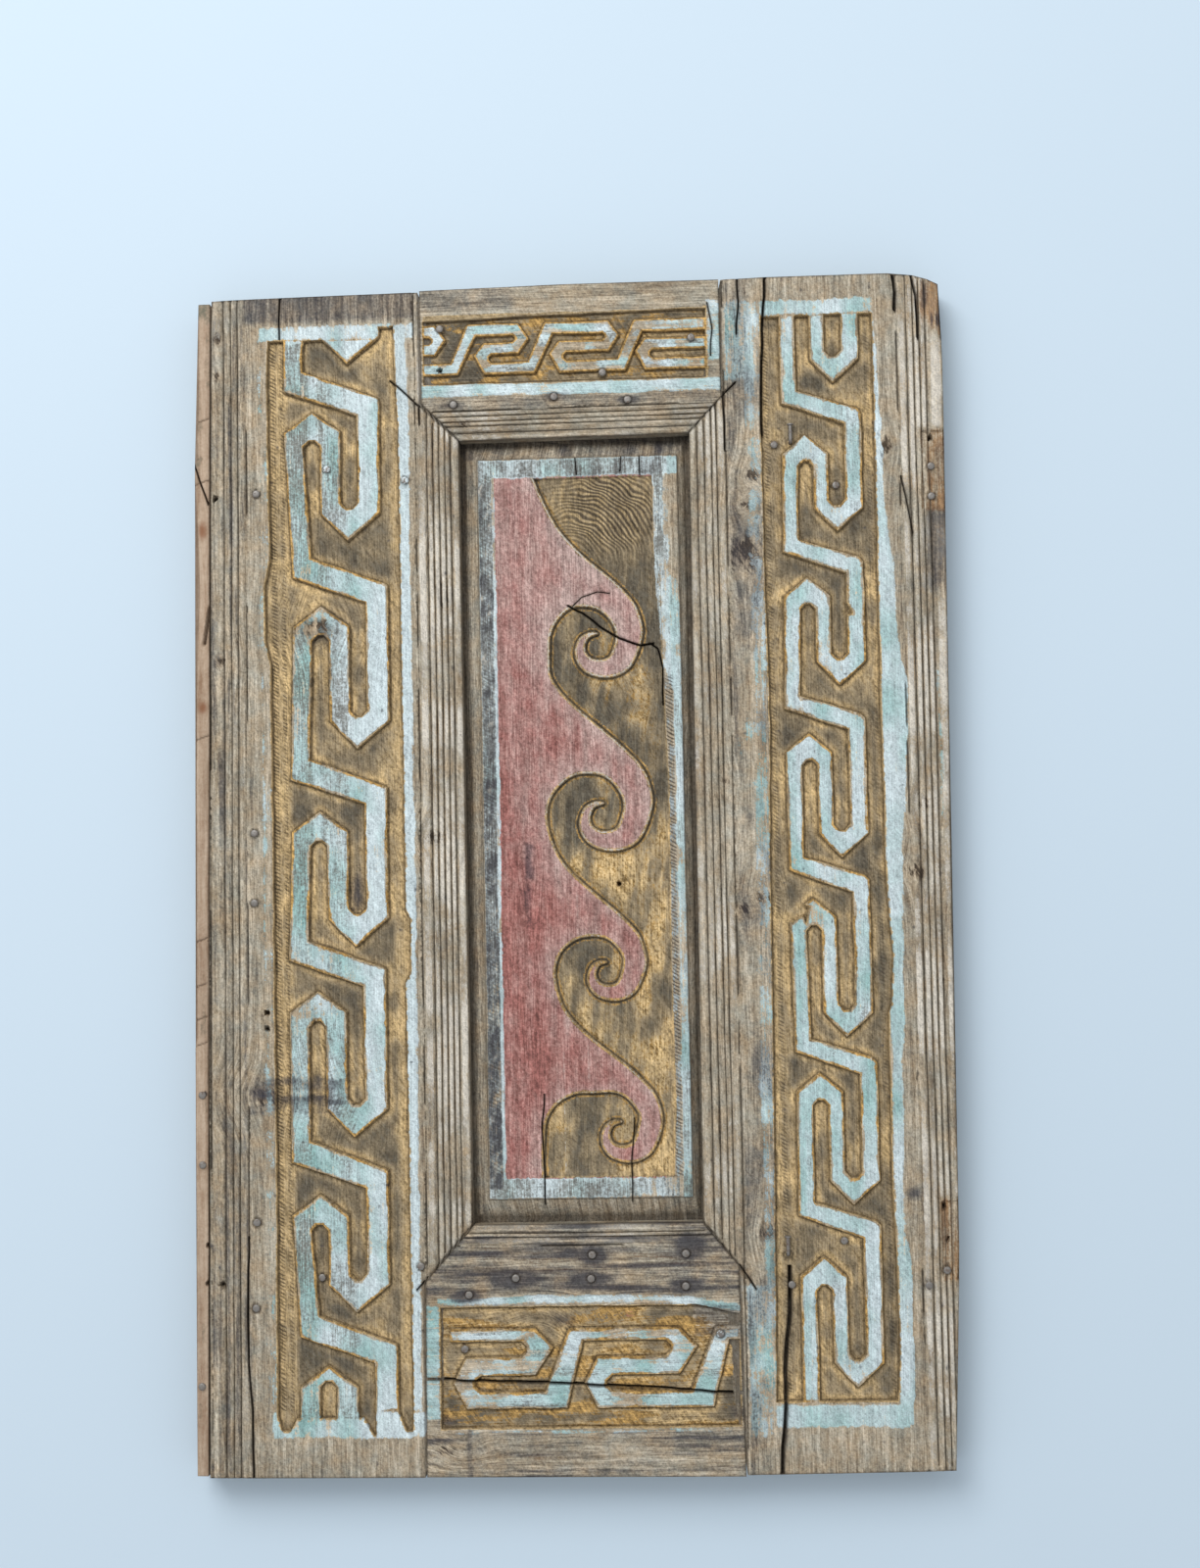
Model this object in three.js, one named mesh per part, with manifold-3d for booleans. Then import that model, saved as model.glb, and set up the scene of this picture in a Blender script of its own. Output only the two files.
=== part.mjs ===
// Small carved and painted wooden door: two stiles, two rails, a fielded panel, a lath
// nailed along one edge and the nails. Millimetres. The door lies on its back: +X is the
// door's right, +Y runs up the door, +Z points out of the carved face.
import * as THREE from "three";
import { mergeVertices } from "three/addons/utils/BufferGeometryUtils.js";
import Module from "manifold-3d";

const wasm = await Module();
wasm.setup();

// Driving sizes
const THICK = 32; // stiles and rails, and the height of their flat face
const GAP = 0.3; // clearance between pieces that touch
const BEYOND = 1; // how far a cutter stands past the face it opens
const WALL_SLOPE = 0.28; // sideways run of a carved wall per millimetre of depth

const STILE_CARVING = 3.2; // depth of the stiles' sunk ground
const RAIL_CARVING = 2.5;
const PANEL_CARVING = 2.6;

const OPENING = { left: -71, right: 83, low: -231.6, high: 292 };
const TONGUE = { low: 10, high: 16.7, reach: 6.8 }; // the panel's edge in its groove
const PANEL_FIELD = { left: -59.5, right: 75.5, low: -216.3, high: 279, z: 24 };
const FIELD_STEP = 0.8; // the field's edge stands this far above its bevel
const SIGHT_GAP = 1.6; // between the foot of the bevel and the frame

const TENON = { low: 10, high: 22, length: 48, spare: 1 };
const TOP_TENON = [327, 386]; // along the door's height
const BOTTOM_TENON = [-384, -284];

const MITRE = {
  topLeft: { corner: [-71.5, 292.2], seam: [-97, 315.5], overcut: [-117, 334] },
  topRight: { corner: [84.1, 292.8], seam: [107, 316.5], overcut: [116, 325.3] },
  bottomLeft: { corner: [-70.2, -231.7], seam: [-102.4, -268], overcut: [-107, -273] },
  bottomRight: { corner: [82, -231.8], seam: [105.3, -260.5], overcut: [115.5, -275.5] },
};

// Plan outlines of the boards, as worn and chipped
const LEFT_STILE_OUTLINE = [
  [-238.4, 392.2], [-240.4, 250], [-241.6, 100], [-243.2, 0], [-244.5, -130], [-245.1, -250],
  [-246.3, -394.5], [-103.6, -395.2], MITRE.bottomLeft.seam, MITRE.bottomLeft.corner,
  MITRE.topLeft.corner, MITRE.topLeft.seam, [-97.3, 393.6],
];
// The top outer corner is rotted away in steps
const RIGHT_STILE_OUTLINE = [
  [107.5, 395.4], MITRE.topRight.seam, MITRE.topRight.corner, MITRE.bottomRight.corner,
  MITRE.bottomRight.seam, [107.3, -395.4], [242.5, -394], [246.6, -300], [248.7, -250],
  [249.6, -100], [250.4, 0], [252, 100], [253.5, 210], [254.9, 330], [253.7, 389.5],
  [246, 392.6], [237.5, 393.4], [236, 394.6], [222.5, 395], [219, 396.2], [136, 396.2],
  [122, 395.8],
];
// The top left mitre stands open, so its rail edge is set back along most of its length
const TOP_RAIL_OUTLINE = [
  [-96.2, 394.4], [-95.6, 317.3], [-94.2, 315.3], [-70.6, 291.6], [83.6, 292.6],
  [106.2, 315.9], [106.3, 395.6], [5, 396],
];
const BOTTOM_RAIL_OUTLINE = [
  [-102.6, -395], [106.3, -396.2], [104.5, -262], [104.3, -260.1], [81.6, -232.2],
  [-69.3, -232.2], [-101.6, -268.6],
];
// Split and sprung at the top, with a step where a sliver has gone
const LATH_OUTLINE = [
  [-247.5, 390.4], [-248, 320], [-249.2, 298], [-248.6, 284], [-251.2, 281.5], [-250.6, 262],
  [-249.4, 235], [-248.6, 195], [-251, 130], [-251.8, 60], [-252.2, -20], [-252.8, -106],
  [-254, -112], [-254.2, -230], [-254.7, -320], [-254.9, -393.4], [-247.4, -393.6],
  [-246, -250], [-245.4, -130], [-244.1, 0], [-242.5, 100], [-241.3, 250], [-239.4, 390.6],
];
const LATH = { low: 4, high: 30 };

// Carved hook meander: positions across the board of the near, middle and far legs of the band, and the bar
// that joins one hook to the next. Runs follow the board: down a stile, along a rail.
const LEFT_BAND = {
  near: [-188, -175.5], mid: [-164, -150.5], far: [-138.5, -124],
  bar: { rise: 19, thick: 13, leadRise: 17.5, ease: 1.2 },
  foot: { shoulder: 18.5, slot: 21, lean: -2 },
  peak: { shoulder: 13.5, slot: 19, lean: 0 },
};
const RIGHT_BAND = {
  near: [145, 155], mid: [165.5, 175], far: [186.5, 197.5],
  bar: { rise: 12.5, thick: 8, leadRise: 15, ease: 3 },
  foot: { shoulder: 15.5, slot: 17, lean: -1.5 },
  peak: { shoulder: 12.5, slot: 17.5, lean: 0 },
};
const TOP_BAND = {
  near: [336, 343.5], mid: [349.5, 357], far: [362, 370],
  bar: { rise: 11, thick: 4.5, leadRise: 12.5, ease: 1 },
  foot: { shoulder: 7, slot: 9, lean: 0 },
  peak: { shoulder: 6.5, slot: 9.5, lean: 2 },
};
const BOTTOM_BAND = {
  near: [-351, -341], mid: [-329.5, -318.5], far: [-307.5, -300],
  bar: { rise: 16, thick: 14, leadRise: 11, ease: 1 },
  foot: { shoulder: 11.5, slot: 16.5, lean: 2.5 },
  peak: { shoulder: 8.5, slot: 14, lean: 0 },
};
// Each hook: where its bar starts, its pointed foot and its pointed peak, and how far the
// hand-cut hook wandered across the board. Stiles are read down the door, rails to the
// right. Hooks with parts past the ends are cut off by the field.
const LEFT_HOOKS = [
  { bar: 480, foot: 346, peak: 440, shift: 0 },
  { bar: 341, foot: 225.5, peak: 313, shift: -1 },
  { bar: 214, foot: 85, peak: 181, shift: 3.5 },
  { bar: 78, foot: -47, peak: 43, shift: 1 },
  { bar: -43, foot: -173, peak: -77, shift: -1.5 },
  { bar: -176, foot: -288, peak: -211, shift: -1.5 },
  { bar: -290, foot: -420, peak: -323, shift: 3, slot: 9 },
];
const RIGHT_HOOKS = [
  { bar: 460, foot: 323.5, peak: 430, shift: 1 },
  { bar: 318, foot: 223, peak: 288, shift: 1.5 },
  { bar: 217.5, foot: 120, peak: 192, shift: 0.5 },
  { bar: 113, foot: 5.6, peak: 88, shift: -1 },
  { bar: 5.5, foot: -112.5, peak: -21.5, shift: -1 },
  { bar: -114, foot: -222, peak: -136, shift: 0.5 },
  { bar: -220.5, foot: -339.7, peak: -256, shift: 0 },
];
const TOP_HOOKS = [
  { bar: -200, foot: -79, peak: -140, shift: 0 },
  { bar: -75.5, foot: -22.5, peak: -59.3, shift: 0 },
  { bar: -23, foot: 38.5, peak: -8.5, shift: 0 },
  { bar: 37.5, foot: 150, peak: 49.6, shift: 0 },
];
const BOTTOM_HOOKS = [
  { bar: -200, foot: -18.8, peak: -84, shift: 0 },
  { bar: -24, foot: 75.9, peak: 2.4, shift: 0 },
  { bar: 72, foot: 220, peak: 170, shift: 0 },
];
const RUN_END = 500; // past the last hook, outside every board
const BOTTOM_BAND_START = -86; // the rail's band stops short of its left border

const LEFT_FIELD = [
  [-200, 363], [-201, 330], [-200, 215], [-204, 195], [-204, 158], [-200, 142], [-200, -240],
  [-201, -355], [-198, -365], [-192, -365], [-188, -357], [-144, -357], [-137, -368],
  [-134, -368], [-131, -352], [-122, -351], [-115, -366], [-111, -366], [-110.5, -352],
  [-111.5, -72], [-108, -66], [-108, -30], [-111, -24], [-111.5, 300], [-113.5, 335],
  [-114, 371], [-124, 370.5], [-126, 363],
];
const RIGHT_FIELD = [
  [133.8, 369.5], [132.4, 300], [132.2, 205], [133.4, 100], [131.2, 0], [130.2, -130],
  [128.6, -245], [127, -349], [206, -349], [208.6, -322], [208.3, -280], [206.6, -200],
  [207, -98], [209.4, -92], [211.2, -62], [208.2, -14], [207.6, 110], [208.6, 300],
  [208.6, 369.5],
];
const TOP_FIELD = [[-94, 373], [-94, 329.3], [97, 329.3], [97, 376.6], [-20, 374.8]];
const BOTTOM_FIELD = [[-92.6, -285], [-92.6, -364], [104, -364], [104.2, -291], [76, -285]];

// Crests of the running wave, top to bottom: the eye each curls round, how far the crest reaches
// from it, the arch over the hollow, the hollow's far side and the next crest's back
const CRESTS = [
  { eye: [20, 152], reach: 30.5, arch: 30.6, trough: 33, back: 41 },
  { eye: [22, 37.5], reach: 33, arch: 33, trough: 38.5, back: 43 },
  { eye: [22, -67], reach: 26.5, arch: 28, trough: 35.2, back: 39.5 },
  { eye: [29.5, -173], reach: 27.5, arch: 31.5, trough: 52, back: 65 },
];
// Share of the size named, at each angle round the eye in degrees
const CREST_CURL = [
  [76, 1.45], [49, 1.21], [30, 1.09], [11, 1], [-38, 0.87], [-74, 0.77], [-117, 0.67],
  [-156, 0.56], [-200, 0.42], [-242, 0.3], [-270, 0.23],
];
const EYE_CURL = [
  [-215, 0.25], [-167, 0.3], [-131, 0.34], [-90, 0.35], [-50, 0.37], [-8, 0.36], [21, 0.43],
];
const ARCH_CURL = [[41, 0.5], [64, 0.6], [85, 0.74], [101, 0.84], [124, 0.99]];
const TROUGH_BLEND = [[140, 0.4], [156, 0.75], [171, 0.93], [186, 1]];
const BACK_CURL = [[212, 0.93], [228, 0.985], [242, 1.05], [256, 1.16]];
const WAVE_LEAD_IN = [[-24, 275], [-21, 264], [-16.4, 252], [-5, 230], [12, 211]];
const WAVE_POINTS = 176;
const CORNER = 1.5; // the wave line keeps this far from the ends of its ground
const GROUND_RIGHT = [[64, -203], [66, -150], [65, -60], [66, 60], [63.3, 130], [63, 200],
  [58.8, 212], [58.8, 265.5]];

const NAIL = { shank: 1.2, head: 2.5, headHeight: 1, length: 19, tip: 3, sides: 8 };
const LATH_NAIL_LENGTH = 15;
const BENT_NAIL = { rod: 12, lift: 2.7 };

const HINGE_SEAT_DEPTH = 2.8;
const HINGE_SEATS = [
  { x: [238.6, 262], y: [236, 289] },
  { x: [237.4, 262], y: [-271, -220] },
];

const vec = ([x, y]) => new THREE.Vector2(x, y);

function counterClockwise(points) {
  const list = points.map(vec);
  return THREE.ShapeUtils.area(list) < 0 ? list.reverse() : list;
}

function solid(positions, index) {
  return new wasm.Manifold(
    new wasm.Mesh({
      numProp: 3,
      vertProperties: new Float32Array(positions),
      triVerts: new Uint32Array(index),
    }),
  );
}

function fromGeometry(geometry) {
  geometry.deleteAttribute("normal");
  geometry.deleteAttribute("uv");
  const merged = mergeVertices(geometry, 1e-4);
  return solid(merged.attributes.position.array, merged.index.array);
}

// Moves every corner of a closed outline outwards along its mitre
function offsetOutline(outline, distance) {
  const count = outline.length;
  return outline.map((point, i) => {
    const before = outline[(i + count - 1) % count];
    const after = outline[(i + 1) % count];
    const a = point.clone().sub(before).normalize();
    const b = after.clone().sub(point).normalize();
    const miter = new THREE.Vector2(a.y + b.y, -a.x - b.x);
    const scale = 2 / Math.max(miter.lengthSq(), 1);
    return point.clone().addScaledVector(miter, distance * scale);
  });
}

// Solid between two plan outlines that match corner for corner
function loft(bottom, top, low, high) {
  const count = bottom.length;
  const positions = [];
  bottom.forEach((p) => positions.push(p.x, p.y, low));
  top.forEach((p) => positions.push(p.x, p.y, high));
  const index = [];
  for (const [a, b, c] of THREE.ShapeUtils.triangulateShape(top, [])) {
    index.push(a + count, b + count, c + count, a, c, b);
  }
  for (let i = 0; i < count; i += 1) {
    const next = (i + 1) % count;
    index.push(i, next, next + count, i, next + count, i + count);
  }
  return solid(positions, index);
}

// Solid between two heights over a plan outline. It grows sideways by `slope` per
// millimetre above `level`, the height at which the outline is exact.
function prism(points, low, high, slope = 0, level = high) {
  const outline = counterClockwise(points);
  const bottom = offsetOutline(outline, slope * (low - level));
  const top = offsetOutline(outline, slope * (high - level));
  return loft(bottom, top, low, high);
}

const rectangle = (left, right, low, high) => [
  [left, low], [right, low], [right, high], [left, high]];

function box(x, y, z) {
  const geometry = new THREE.BoxGeometry(x[1] - x[0], y[1] - y[0], z[1] - z[0]);
  geometry.translate((x[0] + x[1]) / 2, (y[0] + y[1]) / 2, (z[0] + z[1]) / 2);
  return fromGeometry(geometry);
}

// A row of flat-topped reeds between the given grooves, as the top line of a section.
// `face` gives the height of the reeds' crowns.
function reeds(grooves, face, depth) {
  const shape = [[0, 1], [0.09, 0.45], [0.22, 0.1], [0.5, 0], [0.78, 0.1], [0.91, 0.45]];
  const line = [];
  for (let i = 0; i + 1 < grooves.length; i += 1) {
    const width = grooves[i + 1] - grooves[i];
    for (const [along, drop] of shape) {
      const at = grooves[i] + width * along;
      line.push([at, face(at) - depth * drop]);
    }
  }
  const last = grooves[grooves.length - 1];
  line.push([last, face(last) - depth]);
  return line;
}

// Sweeps a section of [across, height] points along a board. `lean` is the sideways drift
// per millimetre of run of a point at that place across the board.
function sweep(section, place, lean) {
  const contour = counterClockwise(section);
  const count = contour.length;
  const positions = [];
  for (const run of [-RUN_END, RUN_END]) {
    for (const { x: across, y: z } of contour) {
      positions.push(...place(run, across + lean(across) * run), z);
    }
  }
  const index = [];
  for (const [a, b, c] of THREE.ShapeUtils.triangulateShape(contour, [])) {
    index.push(a, b, c, a + count, c + count, b + count);
  }
  for (let i = 0; i < count; i += 1) {
    const next = (i + 1) % count;
    index.push(i, i + count, next + count, i, next + count, next);
  }
  const [runX, runY] = place(1, 0);
  const [acrossX, acrossY] = place(0, 1);
  const mirrored = runX * acrossY - runY * acrossX > 0;
  if (mirrored) {
    for (let i = 0; i < index.length; i += 3) {
      [index[i], index[i + 1]] = [index[i + 1], index[i]];
    }
  }
  return solid(positions, index);
}

const downStile = (run, across) => [across, run];
const alongRail = (run, across) => [run, across];

// A sawn or split line: a narrow wedge that tapers to nothing at its free ends
function crack(points, width, depth, ends = [0.2, 0.2], face = THICK) {
  const line = points.map(vec);
  const left = [];
  const right = [];
  line.forEach((point, i) => {
    const before = line[Math.max(i - 1, 0)];
    const after = line[Math.min(i + 1, line.length - 1)];
    const across = after.clone().sub(before).normalize();
    const share = i === 0 ? ends[0] : i === line.length - 1 ? ends[1] : 1;
    const side = new THREE.Vector2(-across.y, across.x).multiplyScalar((width / 2) * share);
    left.push([point.x + side.x, point.y + side.y]);
    right.unshift([point.x - side.x, point.y - side.y]);
  });
  return prism([...left, ...right], face - depth, face + BEYOND);
}

// Outline of the raised band, from before the first hook to past the last. Points are
// [run, across]; `run` grows in the direction the hooks follow each other.
function meander(hooks, band, direction) {
  const inner = [];
  const outer = [];
  const { bar, foot, peak } = band;
  hooks.forEach((hook) => {
    const at = (run, across) => [run, across + hook.shift];
    const start = hook.bar * direction;
    const footRun = hook.foot * direction;
    const peakRun = hook.peak * direction;
    const slotEnd = peakRun + (hook.slot ?? peak.slot);
    const slotA = (band.mid[1] + band.far[0]) / 2;
    const slotB = (band.near[1] + band.mid[0]) / 2;
    const roundA = (band.far[0] - band.mid[1]) / 2;
    const roundB = (band.mid[0] - band.near[1]) / 2;
    const footAt = (band.mid[0] + band.far[1]) / 2 + foot.lean;
    const peakAt = (band.near[0] + band.mid[1]) / 2 + peak.lean;
    inner.push(
      at(start + bar.thick, band.near[0]),
      at(start + bar.thick + bar.leadRise, band.far[0]),
      at(footRun - foot.slot - roundA * 0.7, band.far[0]),
      at(footRun - foot.slot, slotA + roundA * 0.35),
      at(footRun - foot.slot, slotA - roundA * 0.35),
      at(footRun - foot.slot - roundA * 0.7, band.mid[1]),
      at(peakRun + peak.shoulder, band.mid[1]),
      at(peakRun, peakAt),
      at(peakRun + peak.shoulder, band.near[0]),
    );
    outer.push(
      at(start, band.near[1]),
      at(start + bar.rise, band.far[1] - bar.ease),
      at(start + bar.rise + bar.ease, band.far[1]),
      at(footRun - foot.shoulder, band.far[1]),
      at(footRun, footAt),
      at(footRun - foot.shoulder, band.mid[0]),
      at(slotEnd + roundB * 0.7, band.mid[0]),
      at(slotEnd, slotB + roundB * 0.35),
      at(slotEnd, slotB - roundB * 0.35),
      at(slotEnd + roundB * 0.7, band.near[1]),
    );
  });
  inner.push([RUN_END, band.near[0]]);
  outer.push([RUN_END, band.near[1]]);
  return [...inner, ...outer.reverse()];
}

// Everything the carver took away to leave the band standing. The band starts at
// `bandStart`, measured to the right.
function sunkGround(field, bandOutline, depth, bandStart = -RUN_END) {
  const pocket = prism(field, THICK - depth, THICK + BEYOND, WALL_SLOPE, THICK);
  const heights = [THICK - depth - BEYOND, THICK + 2 * BEYOND];
  const raised = prism(bandOutline, ...heights, -WALL_SLOPE, THICK)
    .intersect(box([bandStart, RUN_END], [-RUN_END, RUN_END], heights));
  return pocket.subtract(raised);
}

function around([x, y], degrees, radius) {
  const angle = THREE.MathUtils.degToRad(degrees);
  return [x + radius * Math.cos(angle), y + radius * Math.sin(angle)];
}

// The line between the raised wave and its ground, from the top of the panel down
function waveLine(count) {
  const knots = [...WAVE_LEAD_IN];
  for (const { eye, reach, arch, trough, back } of CRESTS) {
    const archEnd = ARCH_CURL[ARCH_CURL.length - 1][1] * arch;
    CREST_CURL.forEach(([turn, share]) => knots.push(around(eye, turn, share * reach)));
    EYE_CURL.forEach(([turn, share]) => knots.push(around(eye, turn, share * reach)));
    ARCH_CURL.forEach(([turn, share]) => knots.push(around(eye, turn, share * arch)));
    TROUGH_BLEND.forEach(([turn, share]) => {
      knots.push(around(eye, turn, archEnd + (trough - archEnd) * share));
    });
    BACK_CURL.forEach(([turn, share]) => knots.push(around(eye, turn, share * back)));
  }
  const curve = new THREE.CatmullRomCurve3(
    knots.map(([x, y]) => new THREE.Vector3(x, y, 0)),
    false,
    "centripetal",
  );
  const top = GROUND_RIGHT[GROUND_RIGHT.length - 1][1];
  const low = GROUND_RIGHT[0][1];
  const line = curve.getSpacedPoints(count)
    .filter(({ y }) => y < top - CORNER && y > low + CORNER)
    .map(({ x, y }) => [x, y]);
  const [topX] = line[0];
  const [lowX] = line[line.length - 1];
  return [[topX - CORNER, top], ...line, [lowX, low]];
}

function nailHole([x, y], face, length) {
  const radius = NAIL.shank + GAP;
  const geometry = new THREE.CylinderGeometry(
    radius, radius, length + GAP + BEYOND, NAIL.sides);
  geometry.rotateX(Math.PI / 2);
  geometry.translate(x, y, face + (BEYOND - length - GAP) / 2);
  return fromGeometry(geometry);
}

function straightNail([x, y], face, length) {
  const { shank, head, headHeight, tip, sides } = NAIL;
  const profile = [
    [0, -length], [shank, tip - length], [shank, GAP], [head, GAP],
    [head * 0.84, GAP + headHeight], [0, GAP + headHeight],
  ];
  const geometry = new THREE.LatheGeometry(profile.map(vec), sides);
  geometry.rotateX(Math.PI / 2);
  geometry.translate(x, y, face);
  return fromGeometry(geometry);
}

// Driven, then hammered over so that it lies along the board
function bentNail([x, y], face, length) {
  const { shank, head, headHeight, sides } = NAIL;
  const upright = new THREE.CylinderGeometry(shank, shank, length + BENT_NAIL.lift, sides);
  upright.rotateX(Math.PI / 2);
  upright.translate(x, y, face + (BENT_NAIL.lift - length) / 2);
  const rod = new THREE.CylinderGeometry(shank, shank, BENT_NAIL.rod, sides);
  rod.translate(x, y + BENT_NAIL.rod / 2, face + BENT_NAIL.lift);
  const disc = new THREE.CylinderGeometry(head * 0.9, head * 0.9, headHeight, sides);
  disc.translate(x, y + BENT_NAIL.rod, face + BENT_NAIL.lift);
  return fromGeometry(upright).add(fromGeometry(rod)).add(fromGeometry(disc));
}

const GROUND = THICK - STILE_CARVING;
const RAIL_GROUND = THICK - RAIL_CARVING;
const SEAT = THICK - HINGE_SEAT_DEPTH;
const NAILS = [
  { board: "left_stile", face: THICK, at: [[-208.5, 258.5], [-160.5, 274], [-107.5, 265]] },
  { board: "left_stile", face: THICK, at: [[-212, 29.5], [-212.5, -17], [-213, -228]] },
  { board: "left_stile", face: THICK, at: [[-214, -284], [-104.5, -258]] },
  { board: "left_stile", face: GROUND, at: [[-170.5, -265]] },
  { board: "edge_lath", face: LATH.high, at: [[-249.2, -144], [-249.4, -190], [-251, -335]] },
  { board: "top_rail", face: THICK, at: [[-74, 315.5], [-6, 319], [43.5, 315.5]] },
  { board: "top_rail", face: THICK, at: [[-82.5, 367.5], [27, 334.5], [87, 356.5]] },
  { board: "right_stile", face: GROUND, at: [[141, 282.5], [181.5, 254], [139, -273.5]] },
  { board: "right_stile", face: GROUND, at: [[174, -245.5]] },
  { board: "right_stile", face: THICK, at: [[228, -274.5]] },
  { board: "right_stile", face: SEAT, at: [[245, 265], [244.7, 244.8], [240.2, -265.4]] },
  { board: "right_stile", face: GROUND, at: [[152, 283.5], [137, -254]], bent: true },
  { board: "bottom_rail", face: THICK, at: [[8.5, -252], [70, -252], [-42, -266.5]] },
  { board: "bottom_rail", face: THICK, at: [[7.5, -267.5], [69.5, -273], [-73, -277]] },
  { board: "bottom_rail", face: THICK, at: [[91.5, -304]] },
  { board: "bottom_rail", face: RAIL_GROUND, at: [[-76.5, -312.5]] },
];

function nailHolesOf(board) {
  return NAILS.filter((row) => row.board === board).flatMap(({ face, at }) =>
    at.map((point) => nailHole(point, face, nailLength(board))));
}

function nailLength(board) {
  return board === "edge_lath" ? LATH_NAIL_LENGTH : NAIL.length;
}

function subtractAll(body, cutters) {
  return cutters.reduce((rest, cutter) => rest.subtract(cutter), body);
}

// The groove that holds the panel's tongue all round
const grooveBox = box(
  [OPENING.left - TONGUE.reach - BEYOND, OPENING.right + TONGUE.reach + BEYOND],
  [OPENING.low - TONGUE.reach - BEYOND, OPENING.high + TONGUE.reach + BEYOND],
  [TONGUE.low - GAP, TONGUE.high + GAP],
);

// Blind tenon at one end of a rail: `side` is -1 for the left end, 1 for the right
function tenon(shoulder, side, span, grow = 0) {
  const tip = shoulder + side * (TENON.length + (grow ? TENON.spare : 0));
  const root = shoulder - side * 10;
  return box(
    [Math.min(root, tip), Math.max(root, tip)],
    [span[0] - grow, span[1] + grow],
    [TENON.low - grow, TENON.high + grow],
  );
}

const SHOULDER = { topLeft: -96.2, topRight: 106.2, bottomLeft: -102.3, bottomRight: 105 };
const TENONS = {
  topLeft: [SHOULDER.topLeft, -1, TOP_TENON],
  topRight: [SHOULDER.topRight, 1, TOP_TENON],
  bottomLeft: [SHOULDER.bottomLeft, -1, BOTTOM_TENON],
  bottomRight: [SHOULDER.bottomRight, 1, BOTTOM_TENON],
};

const KERF = { width: 1.2, depth: 3 };
const overcut = ({ seam, overcut: end }) => crack([seam, end], KERF.width, KERF.depth, [1, 0.3]);

const REED_DEPTH = 1.6;
const OUTER_FALL = 1 / 26; // the outer mouldings drop about a millimetre to the edge
const INNER_FALL = 4.2 / 28; // the inner ones fall towards the panel
const QUIRK = 100.4; // where the left inner moulding starts

function leftStile() {
  const outerFace = (x) => THICK - Math.max(0, -x - 217) * OUTER_FALL;
  const innerFace = (x) => THICK - Math.max(0, x + QUIRK) * INNER_FALL;
  const section = [
    [-270, 0], [-270, THICK - 2],
    ...reeds([-242.5, -232.5, -227.5, -223, -217], outerFace, REED_DEPTH),
    [-216.2, THICK], [-QUIRK - 0.8, THICK],
    ...reeds([-QUIRK, -92.6, -88.6, -84.6, -80.6, -77, -70], innerFace, REED_DEPTH),
    [-60, THICK - 6], [-60, 0],
  ];
  const lean = (x) => (x < -210 ? 0.006 : 0);
  const body = prism(LEFT_STILE_OUTLINE, 0, THICK + BEYOND)
    .intersect(sweep(section, downStile, lean));
  return subtractAll(body, [
    sunkGround(LEFT_FIELD, meander(LEFT_HOOKS, LEFT_BAND, -1).map(([u, v]) => [v, -u]),
      STILE_CARVING),
    grooveBox,
    tenon(...TENONS.topLeft, GAP),
    tenon(...TENONS.bottomLeft, GAP),
    overcut(MITRE.topLeft),
    overcut(MITRE.bottomLeft),
    crack([[-97.3, 316], [-97.4, 303]], KERF.width, KERF.depth, [1, 0.3]),
    crack([[-191.5, 396], [-191.6, 380], [-191.8, 364]], 1, 8, [1, 0.3]),
    crack([[-217, -398], [-217.6, -350], [-219.5, -318], [-220, -288], [-218.5, -240]],
      1.2, 9, [1, 0.2]),
    ...nailHolesOf("left_stile"),
  ]);
}

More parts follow.
